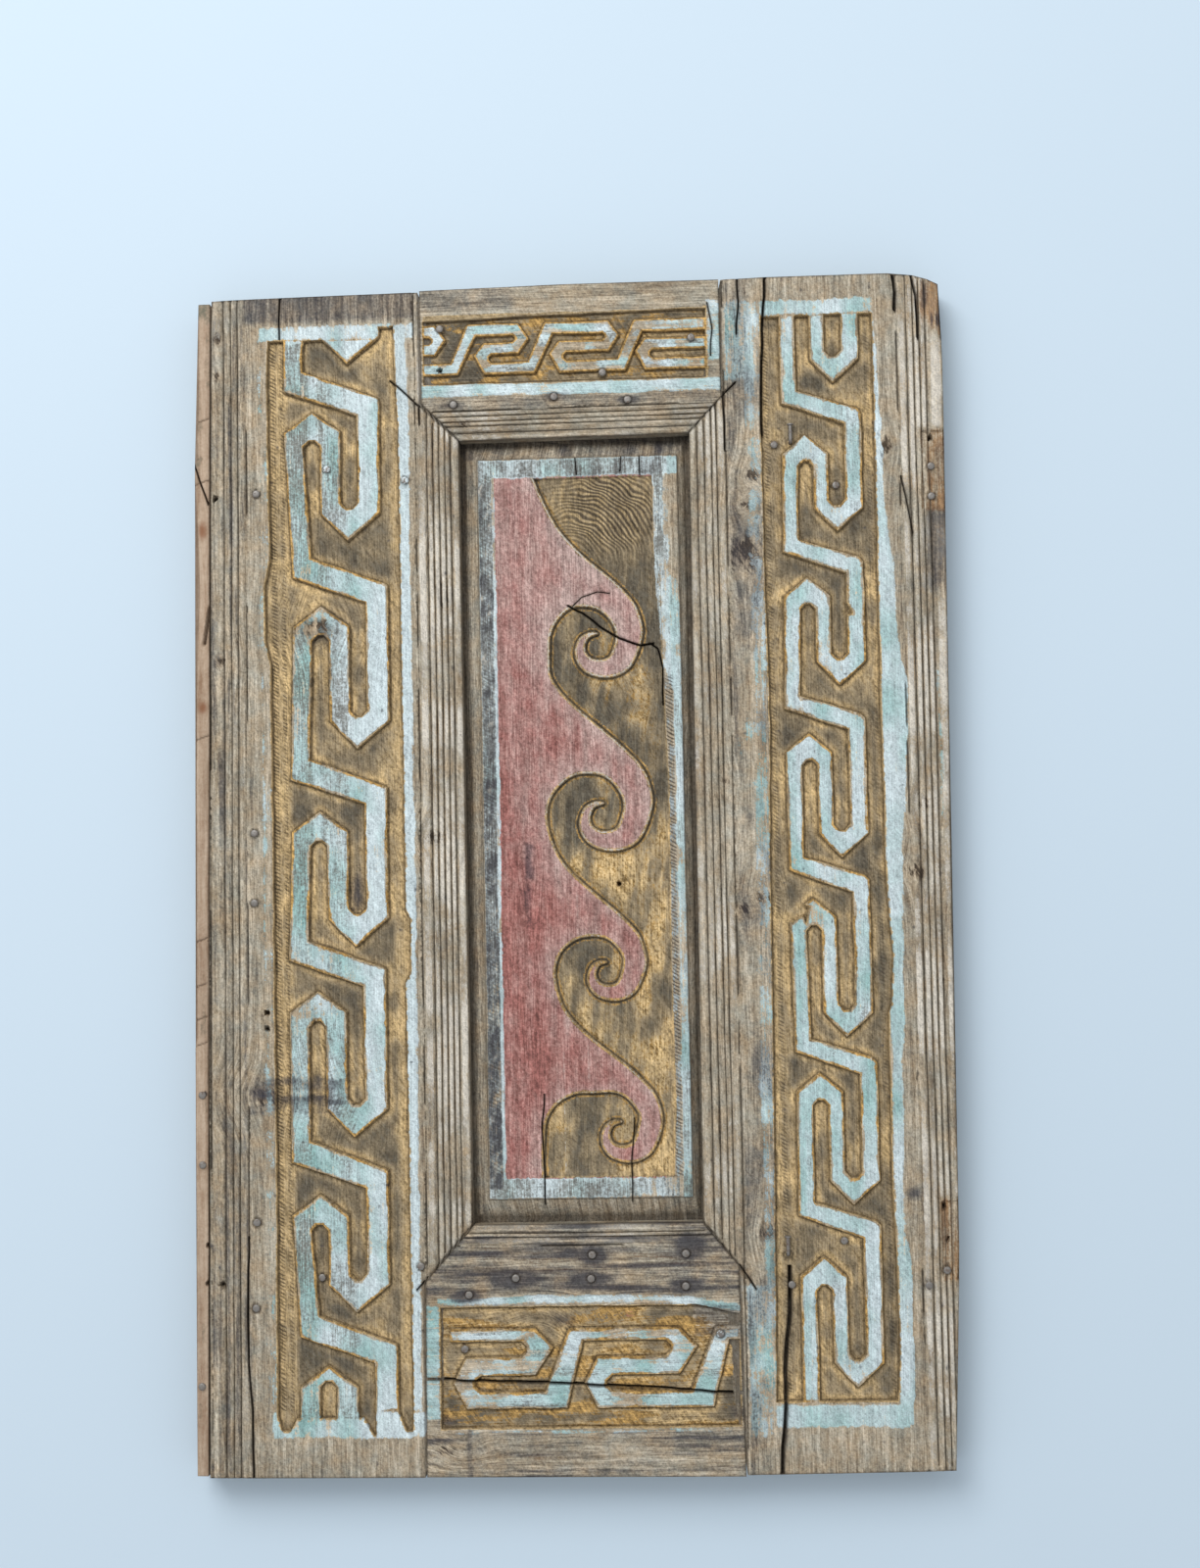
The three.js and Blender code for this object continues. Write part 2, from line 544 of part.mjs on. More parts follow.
function rightStile() {
  const outerFace = (x) => THICK - Math.max(0, x - 224) * OUTER_FALL;
  const innerFace = (x) => THICK - Math.max(0, 108.3 - x) * INNER_FALL;
  const section = [
    [70, 0], [70, THICK - 6],
    ...reeds([81, 89.4, 94.2, 99, 102.3, 108.3], innerFace, REED_DEPTH),
    [109.1, THICK], [223.4, THICK],
    ...reeds([224.2, 231, 235.6, 239.6, 243.6, 252], outerFace, REED_DEPTH),
    [270, THICK - 2], [270, 0],
  ];
  const rot = [[241, 386], [246, 371], [250.4, 354], [258, 350], [258, 398], [243, 398]];
  const body = prism(RIGHT_STILE_OUTLINE, 0, THICK + BEYOND)
    .intersect(sweep(section, downStile, () => 0));
  return subtractAll(body, [
    sunkGround(RIGHT_FIELD, meander(RIGHT_HOOKS, RIGHT_BAND, -1).map(([u, v]) => [v, -u]),
      STILE_CARVING),
    grooveBox,
    tenon(...TENONS.topRight, GAP),
    tenon(...TENONS.bottomRight, GAP),
    overcut(MITRE.topRight),
    overcut(MITRE.bottomRight),
    crack([[107.6, 316], [108, 279]], KERF.width, KERF.depth, [1, 0.3]),
    crack([[136.8, 399], [136.8, 382], [134.6, 362], [133.4, 320], [132.8, 290]],
      1.6, 12, [1, 0.2]),
    crack([[118.8, 398], [119, 380], [117.4, 358]], 1, 6, [1, 0.2]),
    crack([[222.3, 398], [223.8, 384], [223.4, 371]], 2, 7, [1, 0.2]),
    crack([[234.4, 397], [237.8, 380], [238.6, 352]], 1.4, 7, [1, 0.2]),
    crack([[130, -398], [130.6, -378], [133.2, -352], [133.2, -330], [137.2, -292],
      [137.6, -262]], 2.4, 14, [1, 0.2]),
    crack([[224.4, 258], [232, 220]], 1, 2.5),
    prism(rot, THICK - 6, THICK + BEYOND, 1.2, THICK),
    // Broken flank of one peak, and a chip out of a far leg
    prism([[141, -40], [141, -28], [150, -24], [156.5, -26.5], [154.6, -39], [152, -33]],
      GROUND, THICK + BEYOND, WALL_SLOPE, THICK),
    prism([[186, 176], [190.6, 168], [190.4, 166.8], [186, 166]],
      GROUND, THICK + BEYOND, WALL_SLOPE, THICK),
    ...HINGE_SEATS.map(({ x, y }) => box(x, y, [SEAT, THICK + BEYOND])),
    ...nailHolesOf("right_stile"),
  ]);
}

function topRail() {
  const face = (y) => THICK - Math.max(0, 311.5 - y) * INNER_FALL;
  const section = [
    [280, 0], [280, THICK - 6],
    ...reeds([289, 297, 301.5, 304.4, 308, 311.5], face, REED_DEPTH),
    [312.3, THICK], [410, THICK], [410, 0],
  ];
  const body = prism(TOP_RAIL_OUTLINE, 0, THICK + BEYOND)
    .intersect(sweep(section, alongRail, (y) => (y < 312 ? 0.006 : 0)))
    .add(tenon(...TENONS.topLeft))
    .add(tenon(...TENONS.topRight));
  return subtractAll(body, [
    sunkGround(TOP_FIELD, meander(TOP_HOOKS, TOP_BAND, 1), RAIL_CARVING),
    grooveBox,
    ...nailHolesOf("top_rail"),
  ]);
}

function bottomRail() {
  const face = (y) => THICK - Math.max(0, y + 246) * INNER_FALL;
  const section = [
    [-410, 0], [-410, THICK], [-246.6, THICK],
    ...reeds([-245.8, -240.4, -238, -230], face, REED_DEPTH),
    [-220, THICK - 6], [-220, 0],
  ];
  const band = meander(BOTTOM_HOOKS, BOTTOM_BAND, 1);
  const body = prism(BOTTOM_RAIL_OUTLINE, 0, THICK + BEYOND)
    .intersect(sweep(section, alongRail, () => 0))
    .add(tenon(...TENONS.bottomLeft))
    .add(tenon(...TENONS.bottomRight));
  return subtractAll(body, [
    sunkGround(BOTTOM_FIELD, band, RAIL_CARVING, BOTTOM_BAND_START),
    grooveBox,
    crack([[-104, -331.1], [-69.5, -333], [-18, -334.6], [36.5, -338], [67, -340],
      [107, -343]], 1.4, 14, [1, 1]),
    ...nailHolesOf("bottom_rail"),
  ]);
}

function panel() {
  const { left, right, low, high, z } = PANEL_FIELD;
  const reach = TONGUE.reach;
  const tongue = box(
    [OPENING.left - reach, OPENING.right + reach],
    [OPENING.low - reach, OPENING.high + reach],
    [TONGUE.low, TONGUE.high],
  );
  const field = rectangle(left, right, low, high);
  const bevelFoot = rectangle(
    OPENING.left + SIGHT_GAP, OPENING.right - SIGHT_GAP,
    OPENING.low + SIGHT_GAP, OPENING.high - SIGHT_GAP);
  const bevel = loft(bevelFoot.map(vec), field.map(vec), TONGUE.high - GAP, z - FIELD_STEP);
  const raised = prism(field, z - 2 * FIELD_STEP, z);
  const ground = [...waveLine(WAVE_POINTS), ...GROUND_RIGHT];
  return subtractAll(tongue.add(bevel).add(raised), [
    prism(ground, z - PANEL_CARVING, z + BEYOND, WALL_SLOPE, z),
    crack([[0.5, 178], [10, 173.5], [21, 164.5], [34, 155.5], [48.5, 150.5], [57, 151.5]],
      1.2, 8, [0.3, 1], z),
    crack([[55, 151.8], [60, 148], [63, 135], [63, 118]], 1, 7, [1, 0.2], z),
    crack([[-22, -220], [-22.6, -198], [-23.6, -168], [-21.5, -148]], 1, 5, [1, 0.2], z),
    crack([[35.4, -219], [36, -190], [38, -165]], 0.8, 5, [1, 0.2], z),
  ]);
}

function edgeLath() {
  return subtractAll(prism(LATH_OUTLINE, LATH.low, LATH.high), [
    crack([[-251.5, 282.5], [-246.5, 267], [-241.4, 252]], 1, 9, [1, 0.3], LATH.high),
    prism([[-245.6, 159], [-246.4, 163], [-241.8, 181], [-240, 181], [-242, 161]],
      LATH.high - 6, LATH.high + BEYOND, 0.3, LATH.high),
    ...nailHolesOf("edge_lath"),
  ]);
}

const OLD_WOOD = 0x9a8874;
const PANEL_WOOD = 0x8d6a62;
const NEW_WOOD = 0xc3a07c;
const IRON = 0x5a5450;

const door = new THREE.Group();

function toMesh(name, body, colour) {
  const { vertProperties, triVerts } = body.getMesh();
  const geometry = new THREE.BufferGeometry();
  geometry.setAttribute("position", new THREE.BufferAttribute(vertProperties, 3));
  geometry.setIndex(new THREE.BufferAttribute(triVerts, 1));
  const mesh = new THREE.Mesh(
    geometry.toNonIndexed(),
    new THREE.MeshStandardMaterial({ color: colour, roughness: 0.8 }),
  );
  mesh.geometry.computeVertexNormals();
  mesh.name = name;
  door.add(mesh);
}

toMesh("left_stile", leftStile(), OLD_WOOD);
toMesh("right_stile", rightStile(), OLD_WOOD);
toMesh("top_rail", topRail(), OLD_WOOD);
toMesh("bottom_rail", bottomRail(), OLD_WOOD);
toMesh("panel", panel(), PANEL_WOOD);
toMesh("edge_lath", edgeLath(), NEW_WOOD);

let nailCount = 0;
for (const { board, face, at, bent } of NAILS) {
  for (const point of at) {
    nailCount += 1;
    const make = bent ? bentNail : straightNail;
    const name = `nail_${String(nailCount).padStart(2, "0")}`;
    toMesh(name, make(point, face, nailLength(board)), IRON);
  }
}

export default door;
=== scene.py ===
import math

import bpy
import numpy as np
from bpy.props import FloatProperty, FloatVectorProperty, IntProperty, PointerProperty
from mathutils import Matrix, Vector
from mathutils.geometry import delaunay_2d_cdt


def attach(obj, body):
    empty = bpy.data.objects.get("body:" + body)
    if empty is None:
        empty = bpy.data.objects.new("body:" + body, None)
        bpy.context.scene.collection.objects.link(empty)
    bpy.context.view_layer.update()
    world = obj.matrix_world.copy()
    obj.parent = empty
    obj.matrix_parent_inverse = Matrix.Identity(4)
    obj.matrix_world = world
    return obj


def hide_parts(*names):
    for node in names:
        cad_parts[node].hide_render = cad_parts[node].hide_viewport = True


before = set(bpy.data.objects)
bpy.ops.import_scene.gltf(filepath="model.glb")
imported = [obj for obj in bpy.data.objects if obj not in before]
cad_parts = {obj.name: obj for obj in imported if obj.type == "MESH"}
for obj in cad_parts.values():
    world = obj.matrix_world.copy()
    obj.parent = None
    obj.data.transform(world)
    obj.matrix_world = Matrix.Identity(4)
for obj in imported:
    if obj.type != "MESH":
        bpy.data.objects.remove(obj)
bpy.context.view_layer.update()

bl_info = {
    "name": "Carved wooden door",
    "version": (1, 0, 0),
    "blender": (4, 5, 0),
    "location": "3D View > Sidebar > Door",
    "description": "Dresses the boards, panel, lath and nails of a carved and painted door",
    "category": "Object",
}

MM = 0.001

# Sizes shared with the solids, in millimetres
THICK = 32.0
GAP = 0.3
WALL_SLOPE = 0.28
RUN_END = 500.0
OPENING = {"left": -71.0, "right": 83.0, "low": -231.6, "high": 292.0}
TONGUE = {"low": 10.0, "high": 16.7, "reach": 6.8}
FIELD = {"left": -59.5, "right": 75.5, "low": -216.3, "high": 279.0, "z": 24.0}
FIELD_STEP = 0.8
SIGHT_GAP = 1.6
TENON = {"low": 10.0, "high": 22.0, "length": 48.0, "spare": 1.0}
# Each tenon: where its shoulder is, which way it points, and its span up the door
TENONS = {
    "top_left": (-96.2, -1, (327.0, 386.0)),
    "top_right": (106.2, 1, (327.0, 386.0)),
    "bottom_left": (-102.3, -1, (-384.0, -284.0)),
    "bottom_right": (105.0, 1, (-384.0, -284.0)),
}
OUTER_FALL = 1 / 26
INNER_FALL = 4.2 / 28
HINGE_SEAT_DEPTH = 2.8
HINGE_SEATS = [(238.6, 262, 236, 289), (237.4, 262, -271, -220)]  # left, right, low, high
LATH = {"low": 4.0, "high": 30.0}

OUTLINES = {
    "left_stile": [
        (-238.4, 392.2), (-240.4, 250), (-241.6, 100), (-243.2, 0), (-244.5, -130),
        (-245.1, -250), (-246.3, -394.5), (-103.6, -395.2), (-102.4, -268), (-70.2, -231.7),
        (-71.5, 292.2), (-97, 315.5), (-97.3, 393.6),
    ],
    "right_stile": [
        (107.5, 395.4), (107, 316.5), (84.1, 292.8), (82, -231.8), (105.3, -260.5),
        (107.3, -395.4), (242.5, -394), (246.6, -300), (248.7, -250), (249.6, -100),
        (250.4, 0), (252, 100), (253.5, 210), (254.9, 330), (253.7, 389.5), (246, 392.6),
        (237.5, 393.4), (236, 394.6), (222.5, 395), (219, 396.2), (136, 396.2), (122, 395.8),
    ],
    "top_rail": [
        (-96.2, 394.4), (-95.6, 317.3), (-94.2, 315.3), (-70.6, 291.6), (83.6, 292.6),
        (106.2, 315.9), (106.3, 395.6), (5, 396),
    ],
    "bottom_rail": [
        (-102.6, -395), (106.3, -396.2), (104.5, -262), (104.3, -260.1), (81.6, -232.2),
        (-69.3, -232.2), (-101.6, -268.6),
    ],
    "edge_lath": [
        (-247.5, 390.4), (-248, 320), (-249.2, 298), (-248.6, 284), (-251.2, 281.5),
        (-250.6, 262), (-249.4, 235), (-248.6, 195), (-251, 130), (-251.8, 60), (-252.2, -20),
        (-252.8, -106), (-254, -112), (-254.2, -230), (-254.7, -320), (-254.9, -393.4),
        (-247.4, -393.6), (-246, -250), (-245.4, -130), (-244.1, 0), (-242.5, 100),
        (-241.3, 250), (-239.4, 390.6),
    ],
}

# Reeds: grooves across the board, and where the face starts to fall, to which side, how fast
REEDS = {
    "left_stile": [
        {"grooves": (-242.5, -232.5, -227.5, -223, -217),
         "from": -217, "side": -1, "fall": OUTER_FALL},
        {"grooves": (-100.4, -92.6, -88.6, -84.6, -80.6, -77, -70),
         "from": -100.4, "side": 1, "fall": INNER_FALL},
    ],
    "right_stile": [
        {"grooves": (81, 89.4, 94.2, 99, 102.3, 108.3),
         "from": 108.3, "side": -1, "fall": INNER_FALL},
        {"grooves": (224.2, 231, 235.6, 239.6, 243.6, 256),
         "from": 224, "side": 1, "fall": OUTER_FALL},
    ],
    "top_rail": [{"grooves": (289, 297, 301.5, 304.4, 308, 311.5),
                  "from": 311.5, "side": -1, "fall": INNER_FALL}],
    "bottom_rail": [{"grooves": (-245.8, -240.4, -238, -230),
                     "from": -246, "side": 1, "fall": INNER_FALL}],
}
# One reed from groove to groove, as places and shares of the depth
REED_SHAPE = [(0, 1), (0.13, 0.34), (0.3, 0.05), (0.53, 0), (0.76, 0.08), (0.87, 0.34)]

# The hook meander, with the rows and bands of the solids
LEFT_BAND = {
    "near": (-188, -175.5), "mid": (-164, -150.5), "far": (-138.5, -124),
    "bar": {"rise": 19, "thick": 13, "lead": 17.5, "ease": 1.2},
    "foot": {"shoulder": 18.5, "slot": 21, "lean": -2},
    "peak": {"shoulder": 13.5, "slot": 19, "lean": 0},
}
RIGHT_BAND = {
    "near": (145, 155), "mid": (165.5, 175), "far": (186.5, 197.5),
    "bar": {"rise": 12.5, "thick": 8, "lead": 15, "ease": 3},
    "foot": {"shoulder": 15.5, "slot": 17, "lean": -1.5},
    "peak": {"shoulder": 12.5, "slot": 17.5, "lean": 0},
}
TOP_BAND = {
    "near": (336, 343.5), "mid": (349.5, 357), "far": (362, 370),
    "bar": {"rise": 11, "thick": 4.5, "lead": 12.5, "ease": 1},
    "foot": {"shoulder": 7, "slot": 9, "lean": 0},
    "peak": {"shoulder": 6.5, "slot": 9.5, "lean": 2},
}
BOTTOM_BAND = {
    "near": (-351, -341), "mid": (-329.5, -318.5), "far": (-307.5, -300),
    "bar": {"rise": 16, "thick": 14, "lead": 11, "ease": 1},
    "foot": {"shoulder": 11.5, "slot": 16.5, "lean": 2.5},
    "peak": {"shoulder": 8.5, "slot": 14, "lean": 0},
}
# Each hook: where its bar starts, its foot, its peak, its drift, and a slot of its own
LEFT_HOOKS = [
    (480, 346, 440, 0), (341, 225.5, 313, -1), (214, 85, 181, 3.5), (78, -47, 43, 1),
    (-43, -173, -77, -1.5), (-176, -288, -211, -1.5), (-290, -420, -323, 3, 9),
]
RIGHT_HOOKS = [
    (460, 323.5, 430, 1), (318, 223, 288, 1.5), (217.5, 120, 192, 0.5), (113, 5.6, 88, -1),
    (5.5, -112.5, -21.5, -1), (-114, -222, -136, 0.5), (-220.5, -339.7, -256, 0),
]
TOP_HOOKS = [
    (-200, -79, -140, 0), (-75.5, -22.5, -59.3, 0), (-23, 38.5, -8.5, 0), (37.5, 150, 49.6, 0),
]
BOTTOM_HOOKS = [(-200, -18.8, -84, 0), (-24, 75.9, 2.4, 0), (72, 220, 170, 0)]
BOTTOM_BAND_START = -86

LEFT_FIELD = [
    (-200, 363), (-201, 330), (-200, 215), (-204, 195), (-204, 158), (-200, 142),
    (-200, -240), (-201, -355), (-198, -365), (-192, -365), (-188, -357), (-144, -357),
    (-137, -368), (-134, -368), (-131, -352), (-122, -351), (-115, -366), (-111, -366),
    (-110.5, -352), (-111.5, -72), (-108, -66), (-108, -30), (-111, -24), (-111.5, 300),
    (-113.5, 335), (-114, 371), (-124, 370.5), (-126, 363),
]
RIGHT_FIELD = [
    (133.8, 369.5), (132.4, 300), (132.2, 205), (133.4, 100), (131.2, 0), (130.2, -130),
    (128.6, -245), (127, -349), (206, -349), (208.6, -322), (208.3, -280), (206.6, -200),
    (207, -98), (209.4, -92), (211.2, -62), (208.2, -14), (207.6, 110), (208.6, 300),
    (208.6, 369.5),
]
# The broken flank of one peak, and a chip out of a far leg
BREAKS = {
    "right_stile": [
        [(141, -40), (141, -28), (150, -24), (156.5, -26.5), (154.6, -39), (152, -33)],
        [(186, 176), (190.6, 168), (190.4, 166.8), (186, 166)],
    ],
}
TOP_FIELD = [(-94, 373), (-94, 329.3), (97, 329.3), (97, 376.6), (-20, 374.8)]
BOTTOM_FIELD = [(-92.6, -285), (-92.6, -364), (104, -364), (104.2, -291), (76, -285)]

# The running wave, crest by crest from the top: eye, reach, arch, trough, back
CRESTS = [
    ((20, 152), 30.5, 30.6, 33, 41), ((22, 37.5), 33, 33, 38.5, 43),
    ((22, -67), 26.5, 28, 35.2, 39.5), ((29.5, -173), 27.5, 31.5, 52, 65),
]
CREST_CURL = [
    (76, 1.45), (49, 1.21), (30, 1.09), (11, 1), (-38, 0.87), (-74, 0.77), (-117, 0.67),
    (-156, 0.56), (-200, 0.42), (-242, 0.3), (-270, 0.23),
]
EYE_CURL = [
    (-215, 0.25), (-167, 0.3), (-131, 0.34), (-90, 0.35), (-50, 0.37), (-8, 0.36), (21, 0.43),
]
ARCH_CURL = [(41, 0.5), (64, 0.6), (85, 0.74), (101, 0.84), (124, 0.99)]
TROUGH_BLEND = [(140, 0.4), (156, 0.75), (171, 0.93), (186, 1)]
BACK_CURL = [(212, 0.93), (228, 0.985), (242, 1.05), (256, 1.16)]
WAVE_LEAD_IN = [(-24, 275), (-21, 264), (-16.4, 252), (-5, 230), (12, 211)]
GROUND_RIGHT = [
    (64, -203), (66, -150), (65, -60), (66, 60), (63.3, 130), (63, 200), (58.8, 212),
    (58.8, 265.5),
]
CORNER = 1.5

# Knots, as place, half width and half height
KNOTS = {
    "left_stile": [
        (-234, 365, 5, 6), (-235, 340, 4, 5), (-83, 190, 7, 12), (-89, 24, 11, 6),
        (-234, 145, 6, 7), (-163, 168, 14, 9), (-205, -145, 17, 9), (-160, -145, 10, 9),
    ],
    "right_stile": [
        (127, 262, 7, 6), (121.5, 242, 5, 4), (215, 280, 6, 8), (121, 208, 14, 17),
        (103.5, 58, 4, 5), (235, 40, 6, 6), (113, -27.5, 5, 4), (128, -20, 7, 6),
        (228, -5, 8, 7), (242, -77, 3, 5), (124, -240, 6, 7),
    ],
    "top_rail": [(-66, 303, 5, 3)],
    "bottom_rail": [(-12, -295, 11, 6), (-90, -378, 8, 4)],
    "panel": [(32, 116, 9, 5), (-29, 8, 3, 9)],
    "edge_lath": [(-246, 235, 3, 6), (-247, 115, 3, 4), (-242, -5, 2, 6)],
}

# Cracks as points, width and depth
CRACKS = {
    "left_stile": [
        ([(-191.5, 396), (-191.6, 380), (-191.8, 364)], 1.0, 8),
        ([(-217, -398), (-217.6, -350), (-219.5, -318), (-220, -288), (-218.5, -240)], 1.2, 9),
        ([(-97, 315.5), (-117, 334)], 1.2, 3), ([(-102.4, -268), (-107, -273)], 1.2, 3),
        ([(-97.3, 316), (-97.4, 303)], 1.2, 3),
    ],
    "right_stile": [
        ([(136.8, 399), (136.8, 382), (134.6, 362), (133.4, 320), (132.8, 290)], 1.6, 12),
        ([(118.8, 398), (119, 380), (117.4, 358)], 1.0, 6),
        ([(222.3, 398), (223.8, 384), (223.4, 371)], 2.0, 7),
        ([(234.4, 397), (237.8, 380), (238.6, 352)], 1.4, 7),
        ([(130, -398), (130.6, -378), (133.2, -352), (133.2, -330), (137.2, -292),
          (137.6, -262)], 2.4, 14),
        ([(224.4, 258), (232, 220)], 1.0, 2.5), ([(107, 316.5), (116, 325.3)], 1.2, 3),
        ([(105.3, -260.5), (115.5, -275.5)], 1.2, 3), ([(107.6, 316), (108, 279)], 1.2, 3),
    ],
    "top_rail": [([(98, 380), (101, 362), (100, 344)], 0.9, 2)],
    "bottom_rail": [
        ([(-104, -331.1), (-69.5, -333), (-18, -334.6), (36.5, -338), (67, -340),
          (107, -343)], 1.6, 14),
    ],
    "panel": [
        ([(2.9, 177), (10, 184), (20, 187), (28, 186)], 0.7, 1.5),
        ([(0.5, 178), (10, 173.5), (21, 164.5), (34, 155.5), (48.5, 150.5), (57, 151.5)], 1.3, 8),
        ([(55, 151.8), (60, 148), (63, 135), (63, 110)], 1.0, 7),
        ([(-22, -220), (-22.6, -198), (-23.6, -168), (-21.5, -148)], 0.8, 5),
        ([(35.4, -219), (36, -190), (38, -165)], 0.7, 5),
        ([(7, 279), (7.6, 268)], 0.7, 3), ([(38, 279), (37.6, 270)], 0.6, 3),
        ([(50, 279), (50.2, 266)], 0.7, 3),
    ],
    "edge_lath": [([(-251.5, 282.5), (-246.5, 267), (-241.4, 252)], 1.0, 9)],
}
SAW_CUTS = [312, 270, 97, -38, -68, -90, -107]  # thin slanting cuts over lath and left edge
TICK_PITCH = 2.5  # of the slanting chisel ticks along some strips
RIPPLE_PITCH = 2.7  # of the arched year rings at the panel's top right
RIPPLE_SPAN = 120.0  # what the attribute for those rings is divided by to stay below 1
CRACK_FLANK = 0.62  # how far a crack's sides reach from its middle, in widths
CRACK_LIMIT = 7  # no crack is cut deeper here
HOLE_DEPTH = 6

# Nails, as board, height of the wood there, places, and whether they are hammered over
NAILS = [
    ("left_stile", THICK, [(-208.5, 258.5), (-160.5, 274), (-107.5, 265)], False),
    ("left_stile", THICK, [(-212, 29.5), (-212.5, -17), (-213, -228)], False),
    ("left_stile", THICK, [(-214, -284), (-104.5, -258)], False),
    ("left_stile", THICK - 3.2, [(-170.5, -265)], False),
    ("edge_lath", 30.0, [(-249.2, -144), (-249.4, -190), (-251, -335)], False),
    ("top_rail", THICK, [(-74, 315.5), (-6, 319), (43.5, 315.5)], False),
    ("top_rail", THICK, [(-82.5, 367.5), (27, 334.5), (87, 356.5)], False),
    ("right_stile", THICK - 3.2, [(141, 282.5), (181.5, 254), (139, -273.5)], False),
    ("right_stile", THICK - 3.2, [(174, -245.5)], False),
    ("right_stile", THICK, [(228, -274.5)], False),
    ("right_stile", THICK - 2.8, [(245, 265), (244.7, 244.8), (240.2, -265.4)], False),
    ("right_stile", THICK - 3.2, [(152, 283.5), (137, -254)], True),
    ("bottom_rail", THICK, [(8.5, -252), (70, -252), (-42, -266.5)], False),
    ("bottom_rail", THICK, [(7.5, -267.5), (69.5, -273), (-73, -277)], False),
    ("bottom_rail", THICK, [(91.5, -304)], False),
    ("bottom_rail", THICK - 2.5, [(-76.5, -312.5)], False),
]
LONG_NAIL = 19.0
NAIL_LENGTH = {"edge_lath": 15.0}  # in every other board they are long nails
NAIL_TIP = 3.0
NAIL_HOLE = 1.5
BENT_ROD = 12.0
BENT_LIFT = 2.7
# Holes whose nails or screws are gone
EMPTY_HOLES = {
    "left_stile": [(-237, 256.5), (-205, -90), (-205, -101), (-237, -269)],
    "right_stile": [(245, 284), (239.5, -225), (241, -245)],
    "top_rail": [(-83, 339.5)],
    "bottom_rail": [],
    "panel": [(31, -9)],
    "edge_lath": [(-246, -243), (-246.5, -268)],
}


def srgb(code):
    """A colour written as a hex code, in linear light."""
    parts = [int(code[i:i + 2], 16) / 255 for i in (1, 3, 5)]
    return tuple(c / 12.92 if c <= 0.04045 else ((c + 0.055) / 1.055) ** 2.4 for c in parts)


def colour(name, code, description):
    return FloatVectorProperty(
        name=name, description=description, default=srgb(code), subtype="COLOR", size=3,
        min=0, max=1)


def length(name, millimetres, description):
    return FloatProperty(
        name=name, description=description, default=millimetres * MM, unit="LENGTH", min=0)


class DoorCarving(bpy.types.PropertyGroup):
    stile_depth: length("Stile carving", 3.2, "Depth of the sunk ground on the stiles")
    rail_depth: length("Rail carving", 2.5, "Depth of the sunk ground on the rails")
    panel_depth: length("Panel carving", 2.6, "Depth of the ground beside the wave")
    reed_depth: length("Reed depth", 1.6, "Depth of the grooves between the reeds")
    wobble: length("Hand wobble", 0.35, "How far the carved lines stray from true")
    grain_step: length("Mesh step", 1.06, "Spacing of the mesh across the grain")
    seed: IntProperty(name="Seed", description="Seed of all irregularity", default=11)


class DoorFinish(bpy.types.PropertyGroup):
    wood_light: colour("Silvered wood", "#CDC3AE", "Raised grain, bleached by the sun")
    wood_mid: colour("Weathered wood", "#9C917B", "Body of the old boards")
    wood_dark: colour("Dark grain", "#574B3A", "Grime between the ridges")
    wood_warm: colour("Warm wood", "#B3926E", "Where the wood keeps its colour")
    wood_cool: colour("Grey wood", "#878D8B", "Where the wood has gone grey")
    lath_light: colour("Newer wood", "#C0AC96", "Bare lath")
    lath_dark: colour("Newer wood's grain", "#8C7058", "Dark grain of the lath")
    pale_blue: colour("Pale blue paint", "#CFDEE2", "Chalky top of the blue paint")
    teal: colour("Teal paint", "#8FBAB8", "Where the blue paint is thick")
    ochre_light: colour("Rubbed ochre", "#CFB17E", "High spots of the ochre paint")
    ochre: colour("Ochre paint", "#958365", "Paint of the sunk ground")
    ochre_dark: colour("Grimy ochre", "#544E42", "Ochre under grime")
    film: colour("Grime on paint", "#716C61", "Film of dirt over the blue paint")
    edge: colour("Rubbed edge", "#AF8C53", "Edges rubbed down to ochre and bare wood")
    red: colour("Red paint", "#A0635D", "Paint of the wave")
    red_dark: colour("Dark red", "#7C4844", "Red in the grain")
    red_pale: colour("Chalky red", "#BCA19A", "Where the red has gone chalky")
    rust: colour("Rust stain", "#A27B52", "Orange stain round iron")
    stain: colour("Dark stain", "#3A3A41", "Blue-black stain of iron and damp")
    # Colour of grime and of painted shade in grooves, cuts, cracks, chisel ticks and holes; also of
    # the dark rings laid open on the panel.
    soot: colour("Grime", "#30271E", "Grime at the bottom of cuts")
    iron: colour("Iron", "#827E79", "Nails")


class DoorNails(bpy.types.PropertyGroup):
    head: length("Head diameter", 5.0, "Across a nail's head")
    head_height: length("Head height", 1.0, "Thickness of a head")
    shank: length("Shank diameter", 2.4, "Across a nail's shank")
    tilt: FloatProperty(
        name="Tilt", description="How far a nail may lean", default=0.06, subtype="ANGLE", min=0)
    seed: IntProperty(name="Seed", description="Seed of the lean of the nails", default=5)


class DoorStage(bpy.types.PropertyGroup):
    floor: colour("Floor", "#C3D3DF", "Plain pale floor")
    key: FloatProperty(
        name="Key light", description="Power of the soft key light", default=62.0,
        unit="POWER", min=0)
    fill: FloatProperty(
        name="Fill light", description="Strength of the even light all round", default=0.72,
        min=0)


# Irregularity


def lattice(i, j, seed):
    """A fixed random number from -1 to 1 for each point of a lattice."""
    h = (i * 374761393 + j * 668265263 + seed * 974711) & 0xFFFFFFFF
    h = ((h ^ (h >> 13)) * 1274126177) & 0xFFFFFFFF
    return ((h ^ (h >> 16)) & 0xFFFF) / 32767.5 - 1.0


